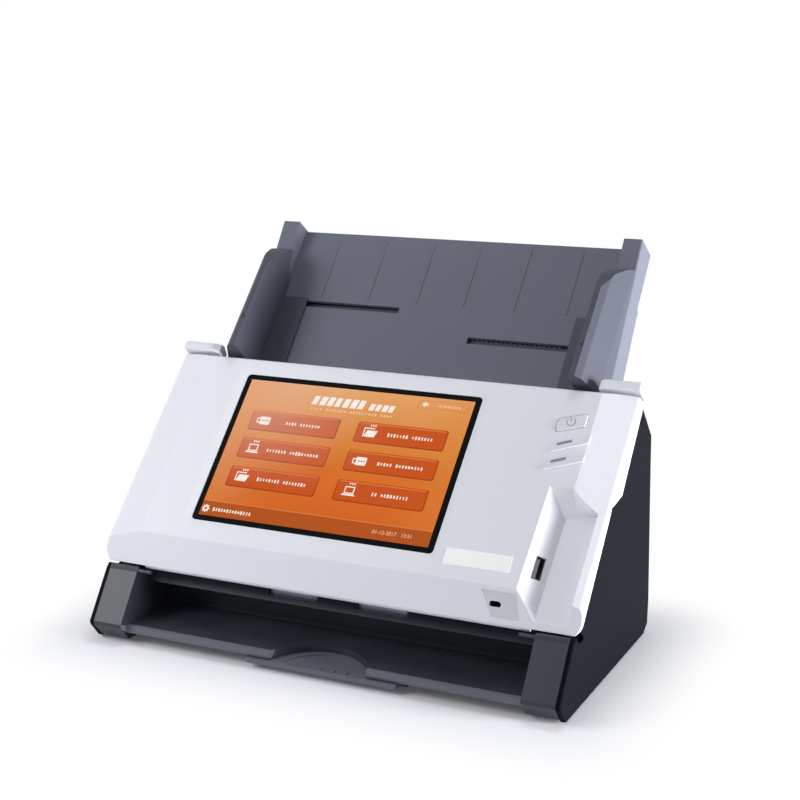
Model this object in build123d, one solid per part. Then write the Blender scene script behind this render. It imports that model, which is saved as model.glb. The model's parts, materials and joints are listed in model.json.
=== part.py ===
from build123d import *
import os
from math import atan2, cos, degrees, pi, radians, sin

os.makedirs("parts", exist_ok=True)

# Sizes are millimetres. X is right, -Y is the front, +Z is up, and the origin lies on the table
# under the middle of the whole machine. The pieces are drawn about the middle of the footprint and
# moved back by middle_y as they are saved. The cover and everything along the sheet path is drawn
# in a tilted frame: X, then V up the slope, then W out of the front face, from the cover's top edge.

middle_y = 36.8

slope_angle = 44.0
cover_top_y = 47.0
cover_top_z = 149.7
tilt = Plane(
    origin=(0, cover_top_y, cover_top_z),
    x_dir=(1, 0, 0),
    z_dir=(0, -sin(radians(slope_angle)), cos(radians(slope_angle))),
)

# Front cover
cover_half_width = 152.0
cover_wall = 2.6
cover_side_wall = 1.5
crease_v = -125.3
cover_bottom_v = -143.2
cover_bottom_w = -10.1
cheek_start = 129.5
cheek_drop = 3.0
cover_corner_radius = 8.0
centre_half_width = 123.5
skirt_line = [(30, -8.0), (0, -8.0), (-56.5, -13.5), (-69.0, -4.2), (-140.0, -9.8), (-170, -12.2)]

# Touch display
display_x = -19.5
display_v = -61.9
active_width = 150.8
active_height = 94.2
glass_width = active_width + 7.5
glass_height = active_height + 6.8
glass_thickness = 1.1
bezel_width = glass_width + 10.3
bezel_height = glass_height + 8.4
bezel_depth = 1.5
fit_gap = 0.15

# Cover hinge and sheet path
hinge_v = -136.5
hinge_w = -13.2
hinge_pin_radius = 1.8
hinge_barrel_radius = 3.3
running_gap = 0.06
swing_radius = 7.9
swing_edge_v = -138.4
trough_wall = 1.4
path_w = -24.0
upper_guide_w = -23.4
lower_guide_w = -24.5
guide_plate = 2.2
guide_half_width = 125.0
nip_gap = 0.15

# Rollers: place along the path, tyre radius, shaft radius
shaft_radius = 3.0
feed_v = -26.0
feed_radius = 12.0
drive_v = -60.0
drive_radius = 8.0
exit_v = -135.0
exit_radius = 6.0
drive_gear_teeth = 12
idler_gear_teeth = 19
feed_gear_teeth = 18
exit_pulley_radius = 5.5
motor_pulley_radius = 5.0
motor_belt_pulley_radius = 12.0
belt_gap = 0.35
belt_thickness = 1.3
pinch_radius = 4.5
pinch_shaft_radius = 1.5
drive_tyre_centres = [-86.0, -30.0, 30.0, 86.0]
drive_tyre_width = 16.0
exit_tyre_centres = [-29.0, 29.0]
exit_tyre_width = 30.0
feed_tyre_centres = [-16.0, 16.0]
feed_tyre_width = 22.0

# Image sensors
sensor_v = -96.0
sensor_length = 226.0
sensor_width = 15.0
sensor_depth = 10.0
sensor_glass_length = sensor_length - 7.0
sensor_glass_width = 12.0
sensor_glass_thickness = 2.0

# Base
post_inner_x = 127.5
side_box_outer_x = 146.9
side_panel_inner_x = 147.0
side_panel_outer_x = 150.0
base_wall = 2.5
box_top_w = -14.8
front_low = (-72.9, 12.1)
front_top = (-51.9, 39.8)
floor_bottom_z = 2.0
rear_wall_y = 66.5
tray_lip_y = -66.8
tray_lip_z = 11.6
scoop_x = 2.2
scoop_radius = 33.0
scoop_centre_y = -77.0
rear_cover_wall = 2.4

# Pull-out sheet stop
stop_x = 4.0
stop_half_width = 48.0
stop_front_y = -68.6
stop_back_y = -24.0
stop_bottom_z = 3.9
stop_thickness = 2.4

# Feeder tray and its two sliding guides
tray_half_width = 124.0
tray_wall_inner_x = 111.8
tray_wall = 2.2
tray_floor_w0 = -24.6
tray_floor_rise = 0.05
tray_front = [(13.9, -23.8), (110.6, -8.1)]
tray_back = [(112.6, -25.8), (75.1, -29.7), (73.6, -32.1), (69.0, -32.4), (23.8, -41.0), (-2.0, -38.0)]
guide_inner_x = 110.0
guide_wall = 1.5
guide_top_w = 9.2
guide_low_v = 3.0
guide_gap = 0.4
rack_pinion_v = 48.0
rack_module = 1.0
pinion_teeth = 12
rack_width = 3.4
rack_offset = 8.6
rack_reach = 14.0

# Buttons and lights
button_low = [(108.6, -28.9), (125.5, -23.6)]
button_height = 8.4
button_travel = 1.2
light_starts = [(112.2, -37.3), (111.6, -48.5)]
light_length = 7.9
light_rise = 3.0
light_width = 1.6

# Data pocket on the right of the cover
pocket_depth = 8.0
pocket_wall = 1.6
pocket_mouth = [(115.3, -62.0), (128.5, -62.0), (146.4, -75.0), (146.4, -150.0), (113.2, -150.0)]
pocket_floor = [(126.5, -78.0), (133.0, -76.2), (144.6, -73.0), (144.6, -150.0), (125.4, -150.0)]
usb_place = (121.0, -110.0, -4.2)
usb_lean = 54.5


def slope_point(v, w):
    """Y and Z in the machine's frame of a point of the tilted frame."""
    a = radians(slope_angle)
    return cover_top_y + v * cos(a) - w * sin(a), cover_top_z + v * sin(a) + w * cos(a)


def prism(points, x0, x1):
    """Closed outline in the plane across X, drawn from x0 to x1."""
    face = make_face(Polyline(*points, close=True))
    return extrude(Plane.YZ.offset(x0) * face, amount=x1 - x0)


def prism_face(face, x0, x1):
    return extrude(Plane.YZ.offset(x0) * face, amount=x1 - x0)


def both_sides(shape):
    return shape + mirror(shape, about=Plane.YZ)


def rod(a, b, radius, x0, x1):
    """Cylinder along X at (a, b) in the two other axes."""
    return extrude(Plane.YZ.offset(x0) * Pos(a, b) * Circle(radius), amount=x1 - x0)


def ring(a, b, outer, inner, x0, x1):
    return rod(a, b, outer, x0, x1) - rod(a, b, inner, x0, x1)


def block(x0, x1, y0, y1, z0, z1):
    return Pos((x0 + x1) / 2, (y0 + y1) / 2, (z0 + z1) / 2) * Box(x1 - x0, y1 - y0, z1 - z0)


def save(name, shape):
    pieces = shape if isinstance(shape, (list, tuple)) else [shape]
    solids = [Pos(0, -middle_y, 0) * solid for piece in pieces for solid in piece.solids()]
    whole = solids[0] if len(solids) == 1 else Compound(children=solids)
    whole.label = name
    export_step(whole, "parts/" + name + ".step")


def gear_face(teeth, module, bore):
    """Flat gear outline with plain tapered teeth, thinned for running clearance."""
    pitch = teeth * module / 2
    outer = pitch + 0.8 * module
    root = pitch - 1.15 * module
    points = []
    for i in range(teeth):
        mid = 2 * pi * i / teeth
        step = 2 * pi / teeth
        for radius, turn in ((root, -0.29), (outer, -0.10), (outer, 0.10), (root, 0.29)):
            angle = mid + turn * step
            points.append((radius * cos(angle), radius * sin(angle)))
    return make_face(Polyline(*points, close=True)) - Circle(bore)


# Cover parts, drawn in the tilted frame


def cover_block(inset, side_inset):
    """The cover's outside, moved in by a wall. It runs far back and is trimmed afterwards."""
    profile = make_face(
        Polyline(
            (cover_bottom_v, -60),
            (cover_bottom_v, cover_bottom_w),
            (crease_v, 0),
            (0, 0),
            (0, -60),
            close=True,
        )
    )
    rounded = [v for v in profile.vertices() if v.Y > -55]
    profile = fillet(rounded, 2.2 if inset == 0 else 3.4)
    if inset:
        profile = offset(profile, -inset)
    half = cover_half_width - side_inset
    body = prism_face(profile, -half, half)
    section = make_face(
        Polyline(
            (-half, -70),
            (-half, -cheek_drop - inset),
            (-cheek_start, -inset),
            (cheek_start, -inset),
            (half, -cheek_drop - inset),
            (half, -70),
            close=True,
        )
    )
    shoulders = [v for v in section.vertices() if abs(v.X) > half - 1 and v.Y > -60]
    section = fillet(shoulders, 2.6)
    slab = extrude(Plane.XZ.offset(-20) * section, amount=200)
    outline = make_face(
        Polyline(
            (-half, cover_bottom_v - 1),
            (-half, 1),
            (half, 1),
            (half, cover_bottom_v - 1),
            close=True,
        )
    )
    feet = [v for v in outline.vertices() if v.Y < -50]
    tops = [v for v in outline.vertices() if v.Y > -50]
    outline = fillet(feet, cover_corner_radius - side_inset)
    tops = [v for v in outline.vertices() if v.Y > 0.5]
    outline = fillet(tops, 4.0)
    plate = extrude(Pos(0, 0, -80) * outline, amount=90)
    return body & slab & plate


def grown(points, spread, down):
    """Pocket outline with its left and upper edges moved out."""
    return [(x - spread if x < 130 else x + spread * 0.4, v + down if v > -100 else v) for x, v in points]


def pocket_shape(grow):
    """Tapered channel for the data socket, open at its lower end; grown, it is the tub around it."""
    low = grown(pocket_floor, grow, grow)
    rise = 2.0 / pocket_depth
    high = [(x + (x - a) * rise, v + (v - b) * rise) for (x, v), (a, b) in zip(grown(pocket_mouth, grow, grow), low)]
    mouth = make_face(Polyline(*high, close=True))
    floor = make_face(Polyline(*low, close=True))
    return loft([Pos(0, 0, 2.0) * mouth, Pos(0, 0, -pocket_depth - grow * 0.9) * floor], ruled=True)


def slanted(low_left, low_right, height):
    """Upright strip whose lower and upper edges climb to the right."""
    (x0, v0), (x1, v1) = low_left, low_right
    return make_face(
        Polyline((x0, v0), (x1, v1), (x1, v1 + height), (x0, v0 + height), close=True)
    )


def button_outline(grow):
    face = slanted(button_low[0], button_low[1], button_height)
    face = fillet(face.vertices(), 1.6)
    return offset(face, grow) if grow else face


def light_outline(start, grow):
    face = slanted(start, (start[0] + light_length, start[1] + light_rise), light_width)
    return offset(face, grow) if grow else face


def louvre(low_left, low_right, height, rise):
    """Shallow step that stands proud at its lower edge and runs out flush at the top."""
    (x0, v0), (x1, v1) = low_left, low_right
    low = [(x0, v0, -1.0), (x0, v0, rise), (x0, v0 + height, -1.0)]
    high = [(x1, v1, -1.0), (x1, v1, rise), (x1, v1 + height, -1.0)]
    left = make_face(Polyline(*low, close=True))
    right = make_face(Polyline(*high, close=True))
    return loft([left, right])


def make_cover_shell():
    shell = cover_block(0, 0) - cover_block(cover_wall, cover_side_wall)
    below_skirt = list(skirt_line) + [(-170, -90), (30, -90)]
    shell -= both_sides(prism(below_skirt, centre_half_width, 160))
    below_centre = [(30, -19), (-60, -19), (-131, -12.6), (-170, -12.6), (-170, -90), (30, -90)]
    shell -= prism(below_centre, -centre_half_width, centre_half_width)
    # Louvred steps beside the display
    shell += louvre((110.4, -41.6), (130.2, -33.9), 12.2, 0.9)
    shell += louvre((108.7, -53.2), (130.0, -45.6), 10.6, 0.9)
    # Sloped frame and window of the display
    frame_face = Rectangle(bezel_width, bezel_height)
    frame_face = fillet(frame_face.vertices(), 7.0)
    seat_face = Rectangle(glass_width + 2 * fit_gap, glass_height + 2 * fit_gap)
    seat_face = fillet(seat_face.vertices(), 2.6)
    mouth = Pos(display_x - 0.8, display_v + 1.5, 0.02) * frame_face
    shell -= loft([mouth, Pos(display_x, display_v, -0.5) * seat_face])
    shell -= extrude(Pos(display_x, display_v, -0.4) * seat_face, amount=0.4 - bezel_depth)
    shell -= Pos(display_x, display_v, -2) * Box(active_width + 1.6, active_height + 1.6, 8)
    # Data pocket
    shell += pocket_shape(pocket_wall) & cover_block(0.05, 0.6)
    shell -= pocket_shape(0)
    # Openings
    shell -= extrude(Pos(0, 0, -6) * button_outline(0.35), amount=10)
    for start in light_starts:
        shell -= extrude(Pos(0, 0, -6) * light_outline(start, 0.1), amount=10)
    shell -= tilt_socket(block(-6.7, 6.7, -2.75, 2.75, -8, 6))
    # Recessed corner panel with the lock slot, on the lower band
    band = Pos(*band_place) * Rot(band_angle, 0, 0)
    panel_face = make_face(Polyline((-12.5, 7.2), (8.0, 7.2), (11.4, -7.0), (-5.5, -7.0), close=True))
    shell -= extrude(band * Pos(0, 0, 0.02) * panel_face, amount=-0.7)
    shell -= extrude(band * Pos(-4.0, 0, -4) * SlotOverall(7.2, 3.2), amount=6)
    # Bosses for the screws of the inner frame
    for x, v in cover_screw_places:
        shell += Pos(x, v, -7.0) * Cylinder(3.4, 9.6)
        shell -= Pos(x, v, -8.4) * Cylinder(1.3, 8.0)
    return shell


cover_screw_places = [(-116.0, -19.0), (92.0, -19.0), (-116.0, -114.0), (96.0, -114.0), (-116.0, -48.0), (92.0, -48.0)]
band_angle = 29.4
band_place = (106.0, -134.0, -4.9)


def tilt_socket(shape):
    """Place a shape on the sloping wall of the data pocket, its own Z out of the wall."""
    return Pos(*usb_place) * Rot(0, 90 - usb_lean, 0) * Rot(0, 0, 90) * shape


def make_label():
    face = Rectangle(39.4, 9.8)
    face = fillet(face.vertices(), 0.6)
    return extrude(Pos(87.1, -112.2, 0.0) * face, amount=0.18)


def make_glass():
    face = Rectangle(glass_width, glass_height)
    face = fillet(face.vertices(), 2.4)
    glass = extrude(Pos(display_x, display_v, -bezel_depth) * face, amount=glass_thickness)
    return chamfer(glass.faces().sort_by(Axis.Z)[-1].edges(), 0.25)


def make_display_module():
    panel = Pos(display_x, display_v, -2.95) * Box(active_width + 1.0, active_height + 1.0, 2.5)
    carrier = Pos(display_x, display_v, -5.3) * Box(active_width + 8, active_height + 5, 2.2)
    notch = block(display_x - 22, display_x + 22, -112.5, -107, -7, -3.9)
    return panel + carrier - notch


def make_control_board():
    board = block(-92, 72, -104, -24, -9.8, -8.2)
    board += block(-60, -40, -70, -50, -12.6, -9.8)
    board += block(-18, -4, -66, -52, -11.6, -9.8)
    board += block(20, 44, -96, -88, -13.0, -9.8)
    board += block(-84, -66, -98, -92, -13.4, -9.8)
    board += block(52, 66, -44, -30, -11.2, -9.8)
    for x, v in ((-88, -100), (-88, -28), (68, -100), (68, -28)):
        board -= Pos(x, v, -9) * Cylinder(1.6, 4)
    return board


def make_button_board():
    board = block(102, 124, -56, -17, -8.6, -7.2)
    board += block(113.5, 119.5, -26.5, -20.5, -7.2, -5.9)
    for x, v in light_starts:
        board += block(x + 2.0, x + 5.4, v + 0.3, v + 3.2, -7.2, -6.2)
    return board


def make_power_button():
    cap = extrude(Pos(0, 0, -3.4) * button_outline(0), amount=3.9)
    cap = fillet(cap.faces().sort_by(Axis.Z)[-1].edges(), 0.5)
    flange = extrude(Pos(0, 0, -3.9) * button_outline(0.9), amount=0.9)
    stem = Pos(116.7, -23.2, -4.0) * Cylinder(1.4, 1.2)
    return cap + flange + stem


def make_status_lights():
    pipes = []
    for start in light_starts:
        pipes.append(extrude(Pos(0, 0, -5.8) * light_outline(start, 0), amount=6.2))
    return pipes


def make_usb_socket():
    shell = block(-6.55, 6.55, -2.6, 2.6, -12.0, -0.5) - block(-6.2, 6.2, -2.25, 2.25, -11.0, 0)
    tongue = block(-5.6, 5.6, 0.1, 1.9, -11.5, -1.6)
    return tilt_socket(shell + tongue)


def make_inner_frame():
    """Dark moulding behind the white shell: upper sheet guide, side walls and hinge knuckles."""
    top = upper_guide_w + guide_plate
    frame = block(-guide_half_width, guide_half_width, -137.0, -3.0, upper_guide_w, top)
    frame += both_sides(block(guide_half_width - 2, guide_half_width, -137, -3, upper_guide_w, -12.0))
    frame += block(-guide_half_width, guide_half_width, -5.0, -3.0, upper_guide_w, -19.4)
    for v in (-38.0, -80.0, -114.0):
        frame += block(-guide_half_width, guide_half_width, v - 0.8, v + 0.8, upper_guide_w, -16.4)
    for x in (-60.0, 60.0):
        frame += block(x - 0.8, x + 0.8, -137, -5, upper_guide_w, -17.0)
    # Rounded lead-out at the lower end, inside the circle that it swings on
    frame += block(-112, 112, -139.0, -137.0, -22.6, -14.0)
    frame += block(-112, 112, -139.0, -130.0, -14.4, -12.9)
    # Windows for the pinch rollers, the sensor, the separation pad and the sheet lever
    for x in drive_tyre_centres:
        frame -= block(x - 10, x + 10, drive_v - 7, drive_v + 7, -30, -10)
    for x in exit_tyre_centres:
        frame -= block(x - 17, x + 17, exit_v - 6.4, exit_v + 6.4, -30, -14.5)
    half = sensor_length / 2 + 1
    frame -= block(-half, half, sensor_v - 8.2, sensor_v + 8.2, -30, -10)
    frame -= block(-31, 31, -37, -12, -30, -10)
    frame -= block(47.4, 52.6, -46, -33, -24, -20)
    # Cradles of the two pinch shafts
    pinch_w = path_w + nip_gap + pinch_radius
    clearance = pinch_shaft_radius + 0.8
    frame -= rod(drive_v, pinch_w, clearance, -110, 110)
    frame -= rod(exit_v, pinch_w, clearance, -56, 56)
    for v, places in ((drive_v, (-104, -58, -2, 2, 58, 104)), (exit_v, (-50, 0, 50))):
        for x in places:
            frame += block(x - 1.2, x + 1.2, v - 3.2, v + 3.2, upper_guide_w, pinch_w + 2.8)
    frame -= rod(drive_v, pinch_w, pinch_shaft_radius, -107, 107)
    frame -= rod(exit_v, pinch_w, pinch_shaft_radius, -53, 53)
    # Screw posts up to the shell's bosses
    for x, v in cover_screw_places:
        frame += Pos(x, v, -17.1) * Cylinder(3.6, 10.4)
        frame -= Pos(x, v, -17.1) * Cylinder(1.5, 20)
        frame -= Pos(x, v, -22.0) * Cylinder(2.9, 6.0)
    # Hinge knuckles outside the sheet width
    for side in (-1, 1):
        x0, x1 = sorted((side * 118.0, side * 127.2))
        web = [(-134.5, -16.4), (-118, -21.6), (-118, -13), (-134.5, -10.2)]
        frame += rod(hinge_v, hinge_w, hinge_barrel_radius, x0, x1) + prism(web, x0, x1)
        frame -= rod(hinge_v, hinge_w, hinge_pin_radius + running_gap, x0 - 3, x1 + 3)
    # Bosses of the release shaft, carried by the side walls
    for side in (-1, 1):
        x0, x1 = sorted((side * 119.5, side * guide_half_width))
        frame += block(x0, x1, release_v - 4, release_v + 4, top, release_w + 3.6)
        frame -= rod(release_v, release_w, release_shaft_radius + running_gap, x0 - 2, x1 + 2)
    return frame


release_v = -12.0
release_w = -11.0
release_shaft_radius = 2.0


def make_release_shaft():
    return both_sides(rod(release_v, release_w, release_shaft_radius, -0.5, 143))


def make_release_ears():
    """Finger tabs behind the cover's top corners, each on an arm from the shaft."""
    profile = make_face(Polyline((1.7, -9.4), (1.7, 0.6), (3.6, 2.5), (7.4, 1.4), (8.4, -4.0), (6.0, -9.4), close=True))
    profile = fillet([v for v in profile.vertices() if v.Y > 0 or v.X > 8], 1.1)
    tab = extrude(Plane.YZ.offset(126.4) * profile, amount=24.6)
    wedge = make_face(Polyline((120, 6), (132.2, 6), (132.2, 2.6), (126.3, -1.0), (120, -1.0), close=True))
    tab -= extrude(Plane.XZ.offset(-14) * wedge, amount=20)
    arm = prism([(-12.0, -13.0), (1.8, -13.0), (5.0, -9.4), (5.0, -8.6), (1.7, -8.6), (1.0, -9.8), (-12.0, -9.8)], 137.0, 141.0)
    arm += rod(release_v, release_w, 3.2, 137.0, 141.0)
    one = tab + arm - rod(release_v, release_w, release_shaft_radius, 136, 142)
    return [one, mirror(one, about=Plane.YZ)]


def make_latch_hooks():
    """Snap hooks on the release shaft that drop into the tops of the side boxes."""
    outline = [(-13.6, -11.0), (-10.4, -11.0), (-10.4, -18.2), (-9.8, -19.0), (-10.6, -20.6), (-12.6, -20.6), (-13.6, -19.6)]
    hook = prism(outline, 131.0, 135.0) + rod(release_v, release_w, 3.2, 131.0, 135.0)
    hook -= rod(release_v, release_w, release_shaft_radius, 130, 136)
    return [hook, mirror(hook, about=Plane.YZ)]


def make_cover_pinches(v, centres, width):
    pinch_w = path_w + nip_gap + pinch_radius
    return [ring(v, pinch_w, pinch_radius, pinch_shaft_radius + running_gap, x - width / 2, x + width / 2)
            for x in centres]


def make_separation_pad():
    outline = [(-35.5, -23.2), (-18.0, -23.2), (-17.0, -22.0), (-17.0, -20.6), (-35.5, -20.6)]
    return prism(outline, -20, 20)


def make_separation_holder():
    holder = prism([(-36.2, -20.6), (-16.8, -20.6), (-16.8, -16.8), (-36.2, -17.6)], -28, 28)
    holder -= block(-24, 24, -33, -20, -18.6, -14)
    return holder + both_sides(block(26, 28, -36.2, -31, -20.6, -14.0))


def make_sensor(side):
    """Contact image sensor: +1 faces down from the cover, -1 faces up from the base."""
    w = -23.7 if side > 0 else -24.3
    glass_face = w
    body0, body1 = sorted((glass_face + side * sensor_glass_thickness * 0.6, glass_face + side * sensor_depth))
    body = block(-sensor_length / 2, sensor_length / 2, sensor_v - sensor_width / 2, sensor_v + sensor_width / 2,
                 body0, body1)
    g0, g1 = sorted((glass_face, glass_face + side * sensor_glass_thickness))
    seat = block(-sensor_glass_length / 2, sensor_glass_length / 2, sensor_v - sensor_glass_width / 2,
                 sensor_v + sensor_glass_width / 2, g0, g1)
    body -= seat
    body -= block(-sensor_length / 2 + 4, sensor_length / 2 - 4, sensor_v - 4.4, sensor_v + 4.4,
                  *sorted((glass_face + side * 3.0, glass_face + side * 8.4)))
    glass = seat
    return body, glass


# Base parts


def side_box_outline():
    low_rear = slope_point(-3.4, box_top_w)
    low_front = slope_point(-128.0, box_top_w)
    return [(-65.0, floor_bottom_z), front_low, front_top, (-50.4, 41.6), low_front, low_rear,
            (rear_wall_y, 119.0), (rear_wall_y, floor_bottom_z)]


def slope_disc(v, w, radius, x0, x1):
    """Cylinder along X whose centre is given in the tilted frame."""
    y, z = slope_point(v, w)
    return rod(y, z, radius, x0, x1)


def make_base_housing():
    outline = make_face(Polyline(*side_box_outline(), close=True))
    outline = fillet([v for v in outline.vertices() if v.Y < 13 and v.X < -60], 2.5)
    front_part = tilt * block(post_inner_x, side_box_outer_x, -160, swing_edge_v, -60, 10)
    box = prism_face(outline, post_inner_x, side_box_outer_x)
    whole = box
    box -= prism_face(offset(outline, -base_wall), post_inner_x + base_wall, side_box_outer_x + 1)
    trough = slope_disc(hinge_v, hinge_w, swing_radius + trough_wall, post_inner_x, side_box_outer_x)
    box += trough & whole & front_part
    box -= slope_disc(hinge_v, hinge_w, swing_radius, post_inner_x, side_box_outer_x) & front_part
    # Hinge bracket on the inner wall
    bracket = rod(hinge_v, hinge_w, hinge_barrel_radius, post_inner_x, 134.5)
    bracket += prism([(-138, -15.6), (-133.4, -11.6), (-127, -15.2), (-127, -20), (-136, -20)], post_inner_x, 134.5)
    bracket -= rod(hinge_v, hinge_w, hinge_pin_radius, post_inner_x - 1, 135.0)
    box += tilt * bracket
    box -= slope_disc(hinge_v, hinge_w, hinge_pin_radius, post_inner_x - 1, 135.0)
    # Rounded bars along the top of the post, close under the cover's lower edge
    box += prism([(-52.2, 39.2), (-49.8, 39.2), (-49.8, 41.3), (-51.2, 41.5)], post_inner_x, side_box_outer_x)
    box += rod(-50.4, 40.0, 1.2, 118.2, post_inner_x + 0.5)
    # Bearings for the three driven shafts in the inner wall
    for v, w in shaft_places():
        box += slope_disc(v, w, shaft_radius + 3.4, post_inner_x, post_inner_x + 4.0)
        box -= slope_disc(v, w, shaft_radius + 1.6, post_inner_x - 1, post_inner_x + 5)
    # Slots for the snap hooks in the top of the box
    box -= tilt * block(129.8, 136.2, -16.0, -8.0, -19, -12)
    base = box + mirror(box, about=Plane.YZ)
    # Stud of the idler gear and the motor's seat, right side only
    idler = idler_place()
    base += slope_disc(idler[0], idler[1], 4.0, post_inner_x, post_inner_x + 4.6)
    base += slope_disc(idler[0], idler[1], 2.5, post_inner_x, post_inner_x + 9.0)
    base -= rod(motor_y, motor_z, 5.2, post_inner_x - 1, post_inner_x + 4)
    # Floor, delivery tray and the wall behind it
    floor = [
        (tray_lip_y, 7.0), (tray_lip_y - 0.6, 8.7), (tray_lip_y + 0.2, 11.2), (tray_lip_y + 2.3, tray_lip_z),
        (-20.0, 9.4), (-17.6, 11.4), (-19.4, 44.0), (-17.2, 45.6), (-13.4, 11.0), (-13.4, 4.5),
        (rear_wall_y, 4.5), (rear_wall_y, floor_bottom_z), (-19.0, floor_bottom_z), (-19.0, 6.6), (-60.0, 6.6),
    ]
    base += prism(floor, -post_inner_x - 0.2, post_inner_x + 0.2)
    base -= Pos(scoop_x, scoop_centre_y, 12) * Cylinder(scoop_radius, 14)
    # Runners that carry the pull-out stop under the tray
    for side in (-1, 1):
        edge = stop_x + side * (stop_half_width + 0.4)
        wall = sorted((edge, edge + side * 3.0))
        lip = sorted((edge - side * 3.0, edge + side * 3.0))
        base += block(wall[0], wall[1], -60, -18, 2.2, 6.8)
        base += block(lip[0], lip[1], -60, -18, 2.2, 3.5)
    # Stiffening ribs and posts for the main board
    for x in (-70.0, 70.0):
        base += block(x - 1, x + 1, -13.6, 64, 4.4, 9)
    for x, y in board_screw_places:
        base += Pos(x, y, 7.2) * Cylinder(3.0, 5.6)
        base -= Pos(x, y, 8.0) * Cylinder(1.1, 6.0)
    return base


board_screw_places = [(-108.0, 0.0), (-88.0, 44.0), (22.0, 0.0), (22.0, 58.0)]
motor_y = 31.0
motor_z = 30.0


def idler_place():
    """Centre of the idler gear, on the line from the drive shaft to the feed shaft."""
    feed, drive, _ = shaft_places()
    dv = feed[0] - drive[0]
    dw = feed[1] - drive[1]
    span = (dv * dv + dw * dw) ** 0.5
    slack = span - (drive_gear_teeth + feed_gear_teeth + 2 * idler_gear_teeth) / 2
    reach = (drive_gear_teeth + idler_gear_teeth) / 2 + slack / 2
    return drive[0] + dv / span * reach, drive[1] + dw / span * reach


def gear_line_angle():
    feed, drive, _ = shaft_places()
    return degrees(atan2(feed[1] - drive[1], feed[0] - drive[0]))


def shaft_places():
    return [
        (feed_v, path_w - nip_gap - feed_radius),
        (drive_v, path_w - nip_gap - drive_radius),
        (exit_v, path_w - nip_gap - exit_radius),
    ]


def make_side_panel(side):
    start = slope_point(-139.2, -10.8)
    jog_low = slope_point(-69.4, -5.1)
    jog_high = slope_point(-56.9, -14.4)
    peak = slope_point(0.4, -8.9)
    points = [(-64.8, 1.0), front_low, (-52.0, 39.7), start, jog_low, jog_high, peak,
              (71.7, 119.3), (70.8, 98.6), (68.6, 19.0), (66.4, 5.0), (59.0, 1.0)]
    outline = make_face(Polyline(*points, close=True))
    soft = [v for v in outline.vertices() if v.Y < 14 or (v.Y > 118 and v.X > 70)]
    outline = fillet(soft, 2.4)
    x0, x1 = sorted((side * side_panel_inner_x, side * side_panel_outer_x))
    panel = prism_face(outline, x0, x1)
    edge_face = panel.faces().filter_by(Axis.X).sort_by(Axis.X)[-1 if side > 0 else 0]
    panel = chamfer(edge_face.edges(), 0.6)
    front_part = tilt * block(x0 - 1, x1 + 1, -160, swing_edge_v, -60, 10)
    panel -= slope_disc(hinge_v, hinge_w, swing_radius, x0 - 1, x1 + 1) & front_part
    # Locating ribs on the inner side
    inner = sorted((side * (side_panel_inner_x - 3.0), side * side_panel_inner_x))
    panel += block(inner[0], inner[1], -50, 8, 12, 14)
    panel += block(inner[0], inner[1], 46, 60, 60, 62)
    return panel


def make_rear_cover():
    peak = slope_point(-0.3, -11.2)
    inside = slope_point(-2.9, -11.6)
    outer = [(rear_wall_y + 0.1, 4.0), (69.0, 4.0), (69.6, 60), (71.0, 119.0), peak, inside,
             (68.2, 118.4), (67.2, 60), (rear_wall_y + 0.1, 20)]
    cover = prism(outer, -side_box_outer_x, side_box_outer_x)
    # Throat of the feeder between the side boxes, and notches for the release arms
    throat = guide_half_width + 0.6
    cover -= tilt * block(-throat, throat, -14, 6, -37.2, -5)
    cover -= both_sides(tilt * block(136.4, 141.6, -6, 3, -15.0, -6))
    # Vent slots
    for row in range(2):
        for i in range(12):
            x = 26 + i * 7.0
            cover -= block(x - 1.5, x + 1.5, 60, 76, 56 + row * 30, 78 + row * 30)
    # Sockets
    cover -= Pos(-100, 68, 16) * Rot(90, 0, 0) * Cylinder(4.8, 14)
    cover -= block(-82.2, -65.8, 60, 76, 11.5, 23.4)
    cover -= block(-50.2, -37.8, 60, 76, 11.5, 21.4)
    return cover


def make_lower_guide():
    top = lower_guide_w
    outline = [(-146.0, top), (-2.6, top), (-2.6, top - guide_plate), (-142.5, top - guide_plate),
               (-143.2, -28.0), (-145.2, -28.0)]
    plate = prism(outline, -guide_half_width - 2.3, guide_half_width + 2.3)
    plate -= both_sides(block(guide_half_width - 1, 130, -14, 0, -40, -20))
    plate += both_sides(block(guide_half_width, guide_half_width + 2.3, -116, -18, -34, top - 1))
    for v in (-80.0, -108.0):
        plate += block(-guide_half_width, guide_half_width, v - 0.8, v + 0.8, top - 7, top - 1)
    for x in drive_tyre_centres:
        plate -= block(x - 10, x + 10, drive_v - 9.6, drive_v + 9.6, -40, -20)
    for x in exit_tyre_centres:
        plate -= block(x - 16.4, x + 16.4, exit_v - 7.6, exit_v + 7.6, -40, -20)
    for x in feed_tyre_centres:
        plate -= block(x - 12.4, x + 12.4, feed_v - 12.8, feed_v + 12.8, -60, -20)
    half = sensor_length / 2 + 0.6
    plate -= block(-half, half, sensor_v - 8.0, sensor_v + 8.0, -40, -20)
    # Clearance for the shafts and their bushes
    for v, w in shaft_places():
        plate -= rod(v, w, shaft_radius + 0.8, -130, 130)
        plate -= both_sides(rod(v, w, shaft_radius + 3.6, guide_half_width - 1, 130))
    # Slot of the sheet lever
    plate -= block(47.4, 52.6, -46.6, -31.4, -34, -20)
    return plate


def make_bushes():
    bushes = []
    for v, w in shaft_places():
        bush = ring(v, w, shaft_radius + 1.6, shaft_radius + running_gap, post_inner_x - 0.6, post_inner_x + 4.0)
        bush += ring(v, w, shaft_radius + 3.0, shaft_radius + running_gap, post_inner_x - 1.4, post_inner_x - 0.2)
        bushes += [bush, mirror(bush, about=Plane.YZ)]
    return bushes


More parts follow.
